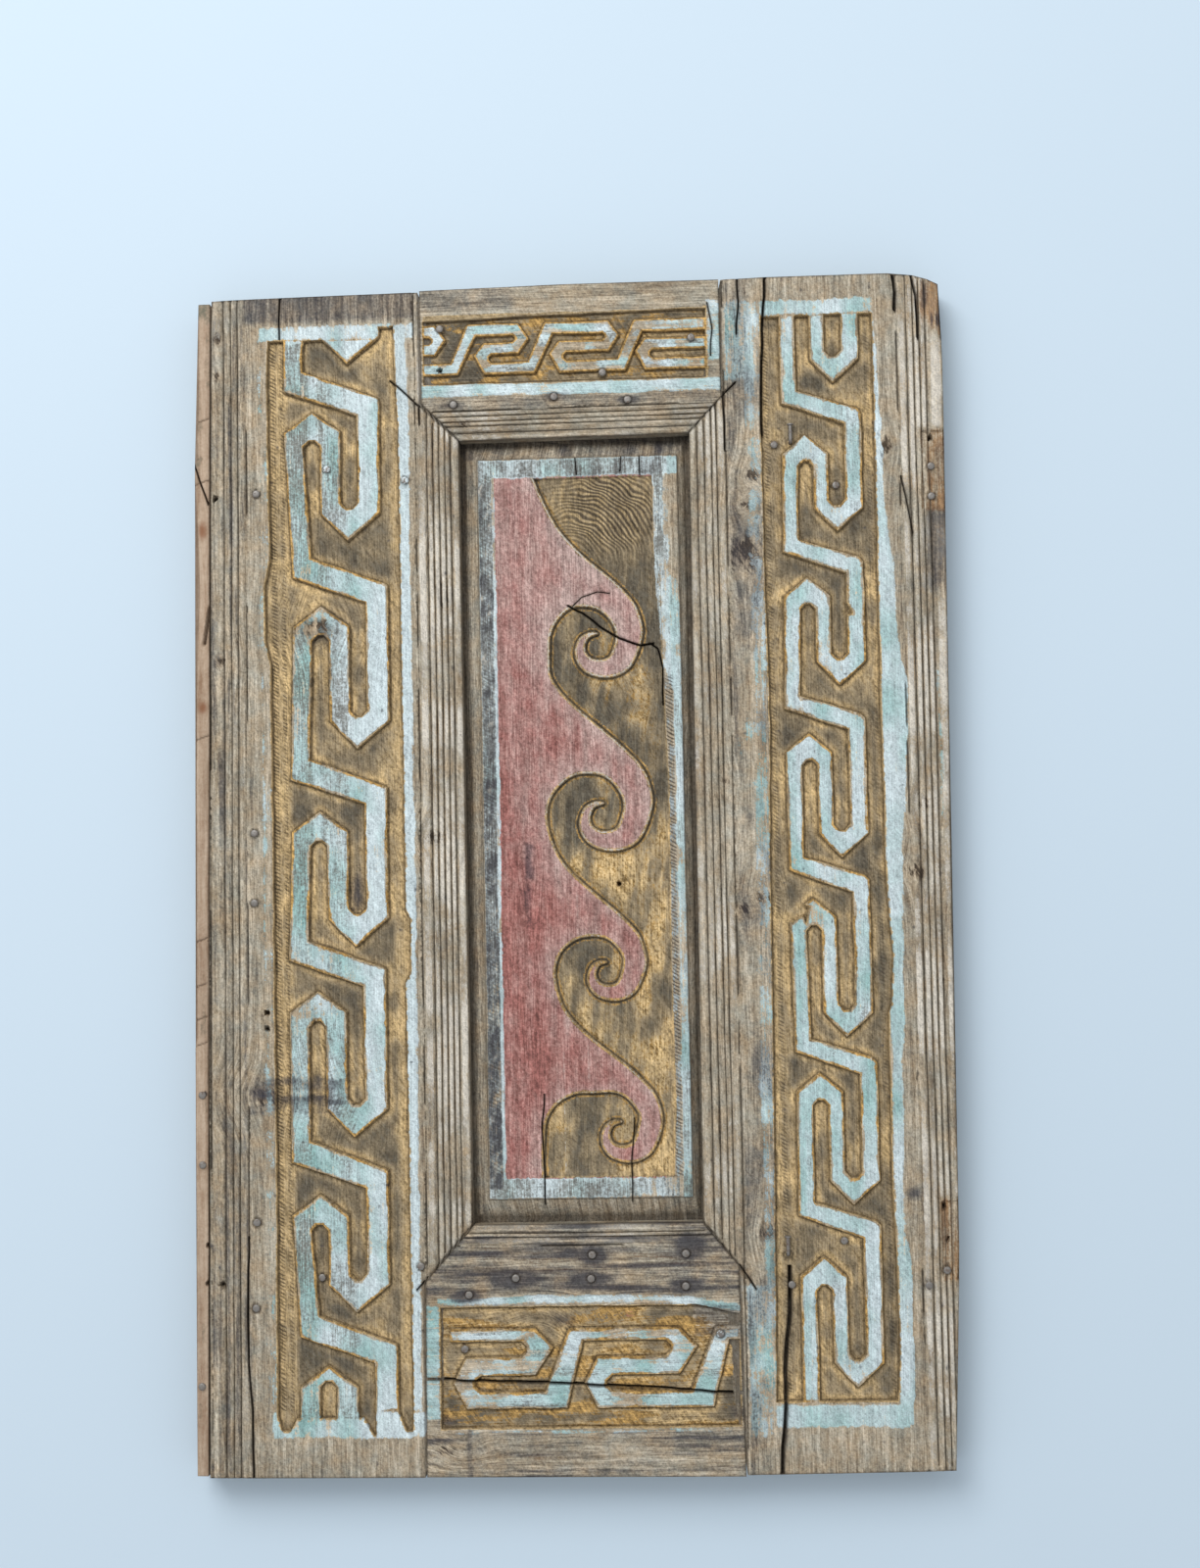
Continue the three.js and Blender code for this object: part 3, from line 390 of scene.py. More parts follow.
def noise(x, y, wide, tall, seed):
    """Smooth noise from -1 to 1 with features `wide` by `tall` millimetres."""
    u, v = np.asarray(x) / wide, np.asarray(y) / tall
    i, j = np.floor(u).astype(np.int64), np.floor(v).astype(np.int64)
    fu, fv = u - i, v - j
    fu, fv = fu * fu * (3 - 2 * fu), fv * fv * (3 - 2 * fv)
    low = lattice(i, j, seed) * (1 - fu) + lattice(i + 1, j, seed) * fu
    high = lattice(i, j + 1, seed) * (1 - fu) + lattice(i + 1, j + 1, seed) * fu
    return low * (1 - fv) + high * fv


def rough(x, y, wide, tall, seed, octaves=3):
    """Layers of noise, each half the size and strength of the one before."""
    total, share = 0.0, 0.55
    for octave in range(octaves):
        scale = 0.5 ** octave
        total = total + share * noise(x, y, wide * scale, tall * scale, seed + octave)
        share *= 0.5
    return total


# Plan geometry


def signed_area(points):
    p = np.asarray(points, float)
    q = np.roll(p, -1, axis=0)
    return float((p[:, 0] * q[:, 1] - q[:, 0] * p[:, 1]).sum() / 2)


def densify(points, step, closed=True):
    """Adds points to an outline so that none lie further apart than `step`."""
    p = np.asarray(points, float)
    ends = np.roll(p, -1, axis=0) if closed else p[1:]
    starts = p if closed else p[:-1]
    out = []
    for a, b in zip(starts, ends):
        count = max(1, int(math.ceil(np.hypot(*(b - a)) / step)))
        out.append(a + (b - a) * (np.arange(count) / count)[:, None])
    if not closed:
        out.append(p[-1:])
    return np.vstack(out)


def hand_cut(points, wobble, seed, closed=True, step=2.2):
    """An outline as a hand would cut it."""
    p = densify(points, step, closed)
    x, y = p[:, 0], p[:, 1]
    return np.column_stack([
        x + wobble * noise(x, y, 9, 13, seed), y + wobble * noise(x, y, 11, 9, seed + 40)])


def shifted(points, distance, closed=True):
    """An outline moved sideways: to its right for a positive distance."""
    p = np.asarray(points, float)
    if closed:
        before, after = np.roll(p, 1, axis=0), np.roll(p, -1, axis=0)
    else:
        before, after = np.vstack([p[:1], p[:-1]]), np.vstack([p[1:], p[-1:]])
    run = after - before
    run /= np.maximum(np.hypot(run[:, 0], run[:, 1]), 1e-9)[:, None]
    return p + distance * np.column_stack([run[:, 1], -run[:, 0]])


def segments(lines):
    """All stretches of some lines as two arrays of end points. A line is (points, closed)."""
    starts, ends = [], []
    for points, closed in lines:
        p = np.asarray(points, float)
        starts.append(p if closed else p[:-1])
        ends.append(np.roll(p, -1, axis=0) if closed else p[1:])
    return np.vstack(starts), np.vstack(ends)


def distance(x, y, lines, cap=12.0):
    """Distance from each point to the nearest line, up to a cap."""
    order = np.argsort(y, kind="stable")
    xs, ys = x[order], y[order]
    best = np.full(len(xs), cap)
    for (ax, ay), (bx, by) in zip(*segments(lines)):
        lo, hi = np.searchsorted(ys, (min(ay, by) - cap, max(ay, by) + cap))
        if lo == hi:
            continue
        dx, dy = bx - ax, by - ay
        px, py = xs[lo:hi] - ax, ys[lo:hi] - ay
        t = np.clip((px * dx + py * dy) / max(dx * dx + dy * dy, 1e-9), 0, 1)
        best[lo:hi] = np.minimum(best[lo:hi], np.hypot(px - t * dx, py - t * dy))
    out = np.empty_like(best)
    out[order] = best
    return out


def inside(x, y, points):
    """Whether each point lies inside a closed outline."""
    order = np.argsort(y, kind="stable")
    xs, ys = x[order], y[order]
    odd = np.zeros(len(xs), bool)
    for (ax, ay), (bx, by) in zip(*segments([(points, True)])):
        if ay == by:
            continue
        lo, hi = np.searchsorted(ys, (min(ay, by), max(ay, by)))
        cross = ax + (ys[lo:hi] - ay) * (bx - ax) / (by - ay)
        odd[lo:hi] ^= xs[lo:hi] < cross
    out = np.empty_like(odd)
    out[order] = odd
    return out


def depth_in(x, y, points, cap=12.0):
    """Distance to a closed outline, above nought inside it."""
    return distance(x, y, [(points, True)], cap) * np.where(inside(x, y, points), 1, -1)


def meander(hooks, band, direction):
    """Outline of the raised hook band, as (run, across), as in the solids."""
    inner, outer = [], []
    bar, foot, peak = band["bar"], band["foot"], band["peak"]
    near, mid, far = band["near"], band["mid"], band["far"]
    for bar_at, foot_at, peak_at, shift, *own in hooks:
        start, foot_run, peak_run = (v * direction for v in (bar_at, foot_at, peak_at))
        slot_end = peak_run + (own[0] if own else peak["slot"])
        slot_a, slot_b = (mid[1] + far[0]) / 2, (near[1] + mid[0]) / 2
        round_a, round_b = (far[0] - mid[1]) / 2, (mid[0] - near[1]) / 2
        inner += [(u, v + shift) for u, v in (
            (start + bar["thick"], near[0]),
            (start + bar["thick"] + bar["lead"], far[0]),
            (foot_run - foot["slot"] - round_a * 0.7, far[0]),
            (foot_run - foot["slot"], slot_a + round_a * 0.35),
            (foot_run - foot["slot"], slot_a - round_a * 0.35),
            (foot_run - foot["slot"] - round_a * 0.7, mid[1]),
            (peak_run + peak["shoulder"], mid[1]),
            (peak_run, (near[0] + mid[1]) / 2 + peak["lean"]),
            (peak_run + peak["shoulder"], near[0]),
        )]
        outer += [(u, v + shift) for u, v in (
            (start, near[1]),
            (start + bar["rise"], far[1] - bar["ease"]),
            (start + bar["rise"] + bar["ease"], far[1]),
            (foot_run - foot["shoulder"], far[1]),
            (foot_run, (mid[0] + far[1]) / 2 + foot["lean"]),
            (foot_run - foot["shoulder"], mid[0]),
            (slot_end + round_b * 0.7, mid[0]),
            (slot_end, slot_b + round_b * 0.35),
            (slot_end, slot_b - round_b * 0.35),
            (slot_end + round_b * 0.7, near[1]),
        )]
    inner.append((RUN_END, near[0]))
    outer.append((RUN_END, near[1]))
    return inner + outer[::-1]


def smooth_curve(knots, per_span=9):
    """A centripetal curve through the knots."""
    p = np.asarray(knots, float)
    p = np.vstack([2 * p[0] - p[1], p, 2 * p[-1] - p[-2]])
    out = []
    for a, b, c, d in zip(p[:-3], p[1:-2], p[2:-1], p[3:]):
        t1 = np.hypot(*(b - a)) ** 0.5
        t2 = t1 + np.hypot(*(c - b)) ** 0.5
        t3 = t2 + np.hypot(*(d - c)) ** 0.5
        t = (t1 + (t2 - t1) * np.arange(per_span) / per_span)[:, None]
        ab = (t1 - t) / t1 * a + t / t1 * b
        bc = (t2 - t) / (t2 - t1) * b + (t - t1) / (t2 - t1) * c
        cd = (t3 - t) / (t3 - t2) * c + (t - t2) / (t3 - t2) * d
        abc = (t2 - t) / t2 * ab + t / t2 * bc
        bcd = (t3 - t) / (t3 - t1) * bc + (t - t1) / (t3 - t1) * cd
        out.append((t2 - t) / (t2 - t1) * abc + (t - t1) / (t2 - t1) * bcd)
    out.append(p[-2:-1])
    return np.vstack(out)


def wave_ground():
    """Outline of the sunk ground to the right of the running wave."""
    def around(eye, degrees, radius):
        a = math.radians(degrees)
        return eye[0] + radius * math.cos(a), eye[1] + radius * math.sin(a)

    knots = list(WAVE_LEAD_IN)
    for eye, reach, arch, trough, back in CRESTS:
        arch_end = ARCH_CURL[-1][1] * arch
        knots += [around(eye, turn, share * reach) for turn, share in CREST_CURL + EYE_CURL]
        knots += [around(eye, turn, share * arch) for turn, share in ARCH_CURL]
        knots += [around(eye, turn, arch_end + (trough - arch_end) * share)
                  for turn, share in TROUGH_BLEND]
        knots += [around(eye, turn, share * back) for turn, share in BACK_CURL]
    line = smooth_curve(knots)
    top, low = GROUND_RIGHT[-1][1], GROUND_RIGHT[0][1]
    line = line[(line[:, 1] < top - CORNER) & (line[:, 1] > low + CORNER)]
    ends = [(line[0][0] - CORNER, top)], [(line[-1][0], low)]
    return np.vstack([ends[0], line, ends[1], GROUND_RIGHT])


def wave_edge(points):
    """The part of the ground's outline that is the wave itself."""
    return points[:len(points) - len(GROUND_RIGHT)]


# Shapes of worn wood. Each board has a function that gives the height of its face and how
# far a spot is down in a groove, and one that gives its paint, both from a place in plan.


def ramp(value, low, high):
    t = np.clip((value - low) / (high - low), 0, 1)
    return t * t * (3 - 2 * t)


def patch(x, y, left, right, low, high, soft=1.2):
    """1 inside a rectangle and 0 outside, with a soft edge."""
    reach = np.minimum(np.minimum(x - left, right - x), np.minimum(y - low, high - y))
    return np.clip(reach / soft + 0.5, 0, 1)


def spot(x, y, at, wide, tall):
    return np.exp(-(((x - at[0]) / wide) ** 2 + ((y - at[1]) / tall) ** 2))


def knot_swirl(board, x, y):
    """How far the grain is pushed aside by knots, and how much of a knot each spot is."""
    push, core = np.zeros_like(x), np.zeros_like(x)
    for kx, ky, wide, tall in KNOTS[board]:
        near = np.exp(-(((x - kx) / (wide * 2.2)) ** 2 + ((y - ky) / (tall * 2.6)) ** 2))
        push = push - (x - kx) * 0.75 * near
        core = np.maximum(core, np.exp(
            -(((x - kx) / wide) ** 2 + ((y - ky) / tall) ** 2) ** 1.5))
    return push, core


def erosion(grain, run, seed):
    """Soft early wood eaten away between the hard lines of the grain, from 0 to 1."""
    warp = 1.2 * noise(grain, run, 14, 120, seed + 3)
    wide = 1 - np.abs(noise(grain + warp, run, 3.6, 170, seed))
    fine = 1 - np.abs(noise(grain + warp, run, 1.9, 90, seed + 7))
    return 0.65 * wide ** 4 + 0.35 * fine ** 3


def reed_shift(board, across, run):
    """How far the reeds stray from straight, as moulded by hand along a board."""
    bend = 0.3 * noise(across, run, 40, 55, sizes().seed + 20)
    if board == "left_stile":
        return bend - np.where(across < -210, 0.006, 0.0) * run
    if board == "top_rail":
        return bend * 0.5 - np.where(across < 312, 0.006, 0.0) * run
    return bend * (1.0 if board == "right_stile" else 0.5)


def reeds(board, across, run):
    """Height of a board's plain section, and how far down in a groove each spot is."""
    a = across + reed_shift(board, across, run)
    z, groove = np.full_like(a, THICK), np.zeros_like(a)
    for row in REEDS[board]:
        at, drop = [], []
        for low, high in zip(row["grooves"][:-1], row["grooves"][1:]):
            at += [low + (high - low) * along for along, _ in REED_SHAPE]
            drop += [share for _, share in REED_SHAPE]
        at.append(row["grooves"][-1])
        drop.append(1.0)
        here = (a >= at[0]) & (a <= at[-1])
        groove = np.where(here, np.interp(a, at, drop), groove)
        z = np.minimum(z, THICK - np.maximum(0, (a - row["from"]) * row["side"]) * row["fall"])
    return z - groove * sizes().reed_depth / MM, groove


def groove_lines(board):
    """Lines along the grooves and shoulders of the reeds, which the mesh follows."""
    upright = BOARDS[board][2]
    runs = np.arange(-400, 400.1, 3.2) if upright else np.arange(-110, 110.1, 3.2)
    lines = []
    for row in REEDS[board]:
        places = [row["grooves"][-1]]
        for low, high in zip(row["grooves"][:-1], row["grooves"][1:]):
            places += [low + (high - low) * along for along in (0, 0.13, 0.3, 0.76, 0.87)]
        for place in places:
            across = np.full_like(runs, place)
            across = across - reed_shift(board, across, runs)
            pair = (across, runs) if upright else (runs, across)
            lines.append((np.column_stack(pair), False))
    return lines


def carve(x, y, field, band, depth, start, breaks):
    """Depth of the sunk ground, and the distance into the ground from its walls."""
    raised = np.minimum(depth_in(x, y, band), x - start)
    for points in breaks:
        raised = np.minimum(raised, -depth_in(x, y, points))
    within = depth_in(x, y, field)
    into = np.minimum(within, -raised)
    return np.clip(into / WALL_SLOPE, 0, depth), into, np.minimum(raised, within)


def crack_line(points):
    """A crack's middle line, wandering a little as wood splits."""
    return hand_cut(points, 0.5, sizes().seed + 6, closed=False, step=1.8)


def cracks_in(board, x, y):
    """Depth of the cracks, and how dark they are."""
    deep, dark = np.zeros_like(x), np.zeros_like(x)
    for points, width, depth in CRACKS[board]:
        off = distance(x, y, [(crack_line(points), False)], 4.0)
        shape = np.clip(1 - off / (width * CRACK_FLANK), 0, 1)
        deep = np.maximum(deep, shape * min(depth, CRACK_LIMIT))
        dark = np.maximum(dark, ramp(off, width * 1.1, width * 0.3))
    return deep, dark


def holes_in(board, x, y):
    deep = np.zeros_like(x)
    for hx, hy in EMPTY_HOLES[board]:
        deep = np.maximum(deep, HOLE_DEPTH * ramp(np.hypot(x - hx, y - hy), 2.0, 1.0))
    return deep


def round_nails(board, x, y):
    """Grime and painted shade in a ring round every nail's head."""
    dark = np.zeros_like(x)
    for owner, _, places, _ in NAILS:
        if owner == board:
            for at in places:
                off = np.hypot(x - at[0], y - at[1])
                dark = np.maximum(dark, np.exp(-((off - 2.9) / 0.7) ** 2))
    return dark


def sizes():
    return bpy.context.scene.door_carving


def cut_lines(board):
    """The outlines that the carver cut, with their wobble, for one board."""
    s = sizes()
    wobble, seed = s.wobble / MM, s.seed
    if board == "panel":
        ground = wave_ground()
        return {"ground": hand_cut(ground, wobble * 0.4, seed + 5, step=1.6),
                "wave": hand_cut(wave_edge(ground), wobble * 0.4, seed + 5, False, 1.6)}
    if board == "edge_lath":
        return {}
    rows = {
        "left_stile": (LEFT_FIELD, LEFT_HOOKS, LEFT_BAND, -1),
        "right_stile": (RIGHT_FIELD, RIGHT_HOOKS, RIGHT_BAND, -1),
        "top_rail": (TOP_FIELD, TOP_HOOKS, TOP_BAND, 1),
        "bottom_rail": (BOTTOM_FIELD, BOTTOM_HOOKS, BOTTOM_BAND, 1),
    }
    field, hooks, band, direction = rows[board]
    outline = meander(hooks, band, direction)
    if direction < 0:
        outline = [(v, -u) for u, v in outline]
    return {
        "field": hand_cut(field, wobble, seed + 1),
        "band": hand_cut(outline, wobble, seed + 2),
    }


def ticks(across, run, centre, wide, pitch):
    """Slanting chisel ticks in a strip, from 0 to 1."""
    here = np.clip(1 - np.abs(across - centre) / wide, 0, 1)
    wave = np.abs(np.sin(math.pi * (run + 0.55 * across) / pitch))
    return here ** 0.5 * (1 - wave) ** 1.5


def saw_cuts(x, y):
    """How far into each of the slanting saw cuts a spot is, from 0 to 1."""
    return [ramp(np.abs(y - level - (x + 240) * 0.35), 0.9, 0.2) for level in SAW_CUTS]


def board_face(board, x, y, cut):
    """Height of a frame board's face, and the grime and painted shade in its hollows."""
    s = sizes()
    seed, upright = s.seed, BOARDS[board][2]
    run, across = (y, x) if upright else (x, y)
    push, core = knot_swirl(board, x, y)
    grain = across + (push if upright else -push)
    depth = (s.stile_depth if upright else s.rail_depth) / MM
    start = BOTTOM_BAND_START if board == "bottom_rail" else -RUN_END
    z, groove = reeds(board, across, run)
    reeded = z < THICK - 0.01
    eaten = erosion(grain, run, seed + 30)
    z = z - eaten * np.where(reeded, 0.5, 0.28)

    sunk, into, raised = carve(
        x, y, cut["field"], cut["band"], depth, start, BREAKS.get(board, ()))
    wear = 0.35 * np.exp(-np.abs(np.minimum(raised, 4)) / 0.7) * (raised > 0)
    ground = ramp(into, 0.3, 1.2)
    scoop = 0.28 * rough(x, y, 7, 10, seed + 50) + 0.12 * noise(x, y, 2.4, 4.5, seed + 53)
    stop_cut = 0.5 * np.exp(-((into - 1.1) / 0.7) ** 2) * (into > 0)
    z = z - sunk - wear - stop_cut + scoop * ground
    marks = np.zeros_like(x)
    if board == "left_stile":
        marks = ticks(x, y, -197, 2.4, 3.3) + 0.7 * ticks(x, y, -191, 1.8, 2.6)
    elif board == "right_stile":
        marks = 0.8 * ticks(x, y, 136, 2.2, 3.4) + 0.6 * ticks(x, y, 204, 2.0, 3.6)
    z = z - 0.5 * marks * ground
    if board == "right_stile":
        seat = np.maximum.reduce([patch(x, y, *sides, 0.5) for sides in HINGE_SEATS])
        z = np.where(seat > 0.5, np.minimum(z, THICK - HINGE_SEAT_DEPTH), z)
        rot = np.clip((x - 241 - (390 - y) * 0.28) / 8, 0, 1) * (y > 350)
        z = z - rot * (4.5 + 1.5 * noise(x, y, 2.5, 12, seed + 60))
        tick_patch = patch(x, y, 100, 130, -200, -170, 5)
        z = z - 0.7 * tick_patch * np.maximum(0, noise(x, y, 2.6, 3.2, seed + 61))
    if board == "left_stile":
        chips = spot(x, y, (-165, 165), 16, 10)
        z = z - 0.9 * chips * np.maximum(0, rough(x, y, 3.4, 3.0, seed + 62) + 0.1)
        for kerf in saw_cuts(x, y):
            z = z - 0.7 * kerf * (x < -226)
    z = z - 0.8 * core * np.maximum(0, noise(x, y, 2.2, 2.6, seed + 70))
    crack, dark = cracks_in(board, x, y)
    rim = distance(x, y, [(OUTLINES[board], True)], 4.0)
    chipped = 0.5 + 0.5 * noise(x, y, 5, 5, seed + 71)
    holes = holes_in(board, x, y)
    z = z - crack - holes - (0.4 + 0.6 * chipped) * np.exp(-rim / 0.7)
    # Grime and painted shade as one share: the reed grooves, the eaten grain, the cracks, the foot
    # of the carved walls, the chisel ticks, the board's rim, a ring round each nail and the empty
    # holes are drawn darker.
    hollow = np.maximum.reduce([
        ramp(groove, 0.42, 1.0), dark, eaten * np.where(reeded, 0.3, 0.25),
        0.85 * np.exp(-((into - 0.9) / 0.8) ** 2) * (into > -0.2),
        0.4 * marks * ground, ramp(rim, 1.2, 0.2) * 0.8, round_nails(board, x, y),
        holes / HOLE_DEPTH,
    ])
    return {"z": z, "hollow": np.clip(hollow, 0, 1), "grain": grain, "core": core,
            "into": into, "raised": raised, "ridge": reeded * (1 - ramp(groove, 0.02, 0.4))}


def ripple(x, y, seed):
    """Arched year rings laid open at the panel's top right: how far out, and where."""
    arch = np.hypot(x, y - 200) + 2.6 * noise(x, y, 11, 9, seed + 80)
    return arch, np.clip(1.5 * spot(x, y, (30, 242), 34, 30), 0, 1)


def panel_face(board, x, y, cut):
    """Height of the fielded panel: field, bevel all round, and the ground beside the wave."""
    s = sizes()
    depth, seed = s.panel_depth / MM, s.seed
    push, core = knot_swirl(board, x, y)
    grain = x + push
    out = np.maximum.reduce([
        (FIELD["left"] - x) / (FIELD["left"] - OPENING["left"] - SIGHT_GAP),
        (x - FIELD["right"]) / (OPENING["right"] - SIGHT_GAP - FIELD["right"]),
        (FIELD["low"] - y) / (FIELD["low"] - OPENING["low"] - SIGHT_GAP),
        (y - FIELD["high"]) / (OPENING["high"] - SIGHT_GAP - FIELD["high"]),
    ])
    edge_z = FIELD["z"] - FIELD_STEP
    foot_z = TONGUE["high"] - GAP
    z = np.where(out > 0.002, edge_z - (edge_z - foot_z) * np.clip(out, 0, 1), FIELD["z"])
    into = depth_in(x, y, cut["ground"])
    from_wave = distance(x, y, [(cut["wave"], False)], 30.0)
    fade = 0.62 + 0.38 * np.exp(-from_wave / 7)
    sunk = np.clip(into / WALL_SLOPE, 0, depth * fade)
    ground = ramp(into, 0.4, 1.6)
    eaten = erosion(grain, y, seed + 31)
    arch, opened = ripple(x, y, seed)
    broad_rings = np.sin(arch * math.pi / RIPPLE_PITCH)
    scoop = 0.22 * rough(x, y, 11, 17, seed + 81) + 0.16 * opened * broad_rings
    groove = 0.45 * np.exp(-((into - 0.9) / 0.6) ** 2) * (from_wave < 3)
    rubbed = 0.35 * np.exp(-np.abs(into) / 0.8) * (into <= 0)
    hatch = np.maximum.reduce([
        ticks(x, y, -54.5, 4.6, 2.7),
        ticks(x, y, 67.2, 3.0, 2.9) * (y < 130),
    ]) * (out < 0)
    z = z - sunk - groove - rubbed - 0.2 * eaten + scoop * ground - 0.35 * hatch
    z = z - 0.9 * np.maximum(0, 1 - np.abs((x + 29 + (y - 6) * 0.08) / 1.6)) * patch(
        x, y, -34, -24, -5, 18, 3)
    crack, dark = cracks_in(board, x, y)
    kerf = np.exp(-(out / 0.05) ** 2)
    rim = np.maximum(0, out)
    holes = holes_in(board, x, y)
    z = z - crack - holes
    # Grime and painted shade: cracks, eaten grain, the step at the field's edge, the bevel as it
    # falls to the tongue, the groove beside the wave, the hatching and the empty holes are drawn
    # darker.
    hollow = np.maximum.reduce([
        dark, 0.4 * eaten, 0.75 * kerf, 0.85 * ramp(rim, 0.45, 1.0),
        0.95 * np.exp(-((into - 0.8) / 0.9) ** 2) * (from_wave < 4), 0.6 * hatch,
        holes / HOLE_DEPTH,
    ])
    return {"z": z, "hollow": np.clip(hollow, 0, 1), "grain": grain, "core": core,
            "into": into, "raised": from_wave * np.where(into > 0, -1, 1), "out": out}


def lath_face(board, x, y, cut):
    """Height of the rough sawn lath."""
    seed = sizes().seed
    push, core = knot_swirl(board, x, y)
    grain = x + push
    eaten = erosion(grain, y, seed + 33)
    z = LATH["high"] - 0.25 * eaten - 0.15 * (1 + noise(x, y, 6, 2.2, seed + 90))
    scoop = np.clip(1 - np.abs(x + 243.4 - (y - 170) * 0.16) / 1.6, 0, 1)
    scoop = scoop * patch(x, y, -249, -239, 157, 183, 3)
    cut_in = np.maximum.reduce(saw_cuts(x, y))
    crack, dark = cracks_in(board, x, y)
    rim = distance(x, y, [(OUTLINES[board], True)], 4.0)
    holes = holes_in(board, x, y)
    z = z - 4 * scoop - 0.7 * cut_in - crack - holes - 0.7 * np.exp(-rim / 0.6)
    # Grime and painted shade: the scoop, the saw cuts, cracks, eaten grain, empty holes and the rim
    # are drawn darker.
    hollow = np.maximum.reduce([scoop, cut_in * 0.8, dark, 0.3 * eaten, holes / HOLE_DEPTH,
                                ramp(rim, 0.8, 0.1) * 0.6])
    none = np.full_like(x, -12.0)
    return {"z": z, "hollow": np.clip(hollow, 0, 1), "grain": grain, "core": core,
            "into": none, "raised": none}


# Paint. Every layer is the share of a spot that it covers; the material breaks it up.

LAYERS = ("blue", "teal", "ochre", "red", "edge", "dirt", "stain", "rust", "pale", "tick",
          "arch", "opened")


def bare(x):
    return {layer: np.zeros_like(x) for layer in LAYERS}


def over(layers, name, amount):
    """Adds paint to a layer where there is less of it."""
    layers[name] = np.maximum(layers[name], amount)


def lay(layers, x, y, drift, where, rows):
    """Lays rectangles of paint: layer, share, drift across and along, sides, softness."""
    for name, share, across, along, *sides in rows:
        over(layers, name, share * patch(x + across * drift, y + along * drift, *sides) * where)


def nicks(x, y, board):
    """Small dark nicks scattered over a board, from 0 to 1."""
    corners = np.asarray(OUTLINES[board])
    low, high = corners.min(axis=0), corners.max(axis=0)
    random = np.random.default_rng(sizes().seed + len(board))
    count = int((high - low).prod() / 1500)
    dark = np.zeros_like(x)
    for _ in range(count):
        at = random.uniform(low, high)
        dark = np.maximum(dark, spot(x, y, at, *random.uniform(0.7, 1.9, 2)))
    return dark


def meander_paint(x, y, shape, seed, slot):
    """Blue on the raised band, ochre and grime on the ground, rubbed edges between."""
    layers = bare(x)
    into, raised = shape["into"], shape["raised"]
    worn = rough(x, y, 20, 34, seed + 100)
    rubbed = raised + 1.1 * rough(x, y, 7, 7, seed + 104)
    over(layers, "blue", ramp(rubbed, 0.5, 1.6) * (0.86 + 0.3 * worn))
    over(layers, "ochre", ramp(into, -0.5, 0.2))
    kept = np.clip(0.62 + 1.1 * rough(x, y, 17, 19, seed + 105), 0.2, 1)
    over(layers, "edge", ramp(raised, -0.7, 0.1) * (1 - ramp(rubbed, 0.8, 1.9)) * kept)
    wide_ground = ramp(into, slot * 0.45, slot * 1.2)
    mottle = rough(x, y, 12, 17, seed + 101) + 0.5 * noise(x, y, 34, 44, seed + 103)
    dirt = 0.3 + 0.36 * wide_ground + 0.6 * mottle
    over(layers, "dirt", np.clip(dirt, 0, 1) * ramp(into, 0.3, 2.6))
    layers["teal"] = np.clip(0.32 + 0.6 * noise(x, y, 14, 26, seed + 102), 0, 1)
    layers["pale"] = shape["ridge"] * np.clip(0.42 + 0.5 * worn, 0, 1)
    return layers


def left_stile_paint(x, y, shape, seed):
    p = meander_paint(x, y, shape, seed, 5.8)
    into = shape["into"]
    plain = into < 0
    drift = 1.1 * rough(x, y, 24, 18, seed + 110)
    lay(p, x, y, drift, plain, [
        ("blue", 0.4, 1, 0, -208, -199.5, -352, 362, 5),
        ("blue", 0.9, 1, 0, -113, -104.5, -352, 372, 3.4),
        ("blue", 0.72, 0, 1, -207, -100, 362, 373, 3.6),
        ("blue", 0.78, 0, 1, -204, -101, -369.5, -352, 3.4)])
    near_leg = patch(x, y, -190, -172, -360, 362, 5)
    mid_leg = patch(x, y, -168, -146, -360, 362, 6)
    far_leg = patch(x, y, -140, -120, -360, 362, 5)
    p["blue"] = p["blue"] * (1 - 0.12 * near_leg + 0.1 * far_leg)
    p["teal"] = np.clip(p["teal"] + 0.4 * near_leg - 0.25 * far_leg + 0.3 * (x < -198)
                        - 0.6 * (x > -114) * plain, 0, 1)
    dusty = rough(x, y, 14, 40, seed + 111)
    over(p, "dirt", (shape["raised"] > 0) * np.clip(
        0.74 * near_leg + 0.62 * mid_leg + 0.1 + 0.5 * dusty, 0, 1))
    p["dirt"] = p["dirt"] * (1 - 0.6 * patch(x, y, -202, -187, -360, 362, 3) * (into > 0))
    p["dirt"] = p["dirt"] * (1 - 0.55 * patch(x, y, -119, -110, -350, 362, 3))
    worn = spot(x, y, (-165, 165), 17, 12)
    p["blue"] = p["blue"] * (1 - 0.6 * worn)
    over(p, "dirt", 0.9 * worn)
    ragged = 6 * rough(x, y, 9, 7, seed + 112)
    scorched = patch(x + ragged, y + 0.5 * ragged, -219, -152, -158, -133, 5)
    over(p, "stain", scorched * np.clip(0.62 + 0.6 * rough(x, y, 16, 3.5, seed + 113), 0, 0.9))
    over(p, "stain", np.maximum(0.45 * worn, spot(x, y, (-144, -12), 7, 18) * (into > 0)))
    lay(p, x, y, drift, 1, [("stain", 0.75, 0, 1, -218, -98, 374, 400, 7),
                            ("stain", 0.4, 0, 0, -222, -206, 300, 400, 16)])
    over(p, "stain", (x < -217) * np.clip(0.3 + 0.5 * noise(x, y, 1.8, 60, seed + 114), 0, 1))
    p["pale"] = p["pale"] * np.where(x < -200, 0.7, 1.75)
    lay(p, x, y, drift, plain, [("pale", 0.75, 0, 0, -216, -200, 92.4, 93.6, 1),
                                ("pale", 0.75, 0, 0, -216, -200, 99.4, 100.6, 1)])
    over(p, "tick", np.maximum(
        patch(x, y, -199.6, -195, -352, 360, 1.4),
        0.85 * patch(x, y, -192.6, -189.4, -352, 360, 1.2)) * ramp(into, 0.2, 1))
    over(p, "stain", 0.9 * nicks(x, y, "left_stile"))
    return p


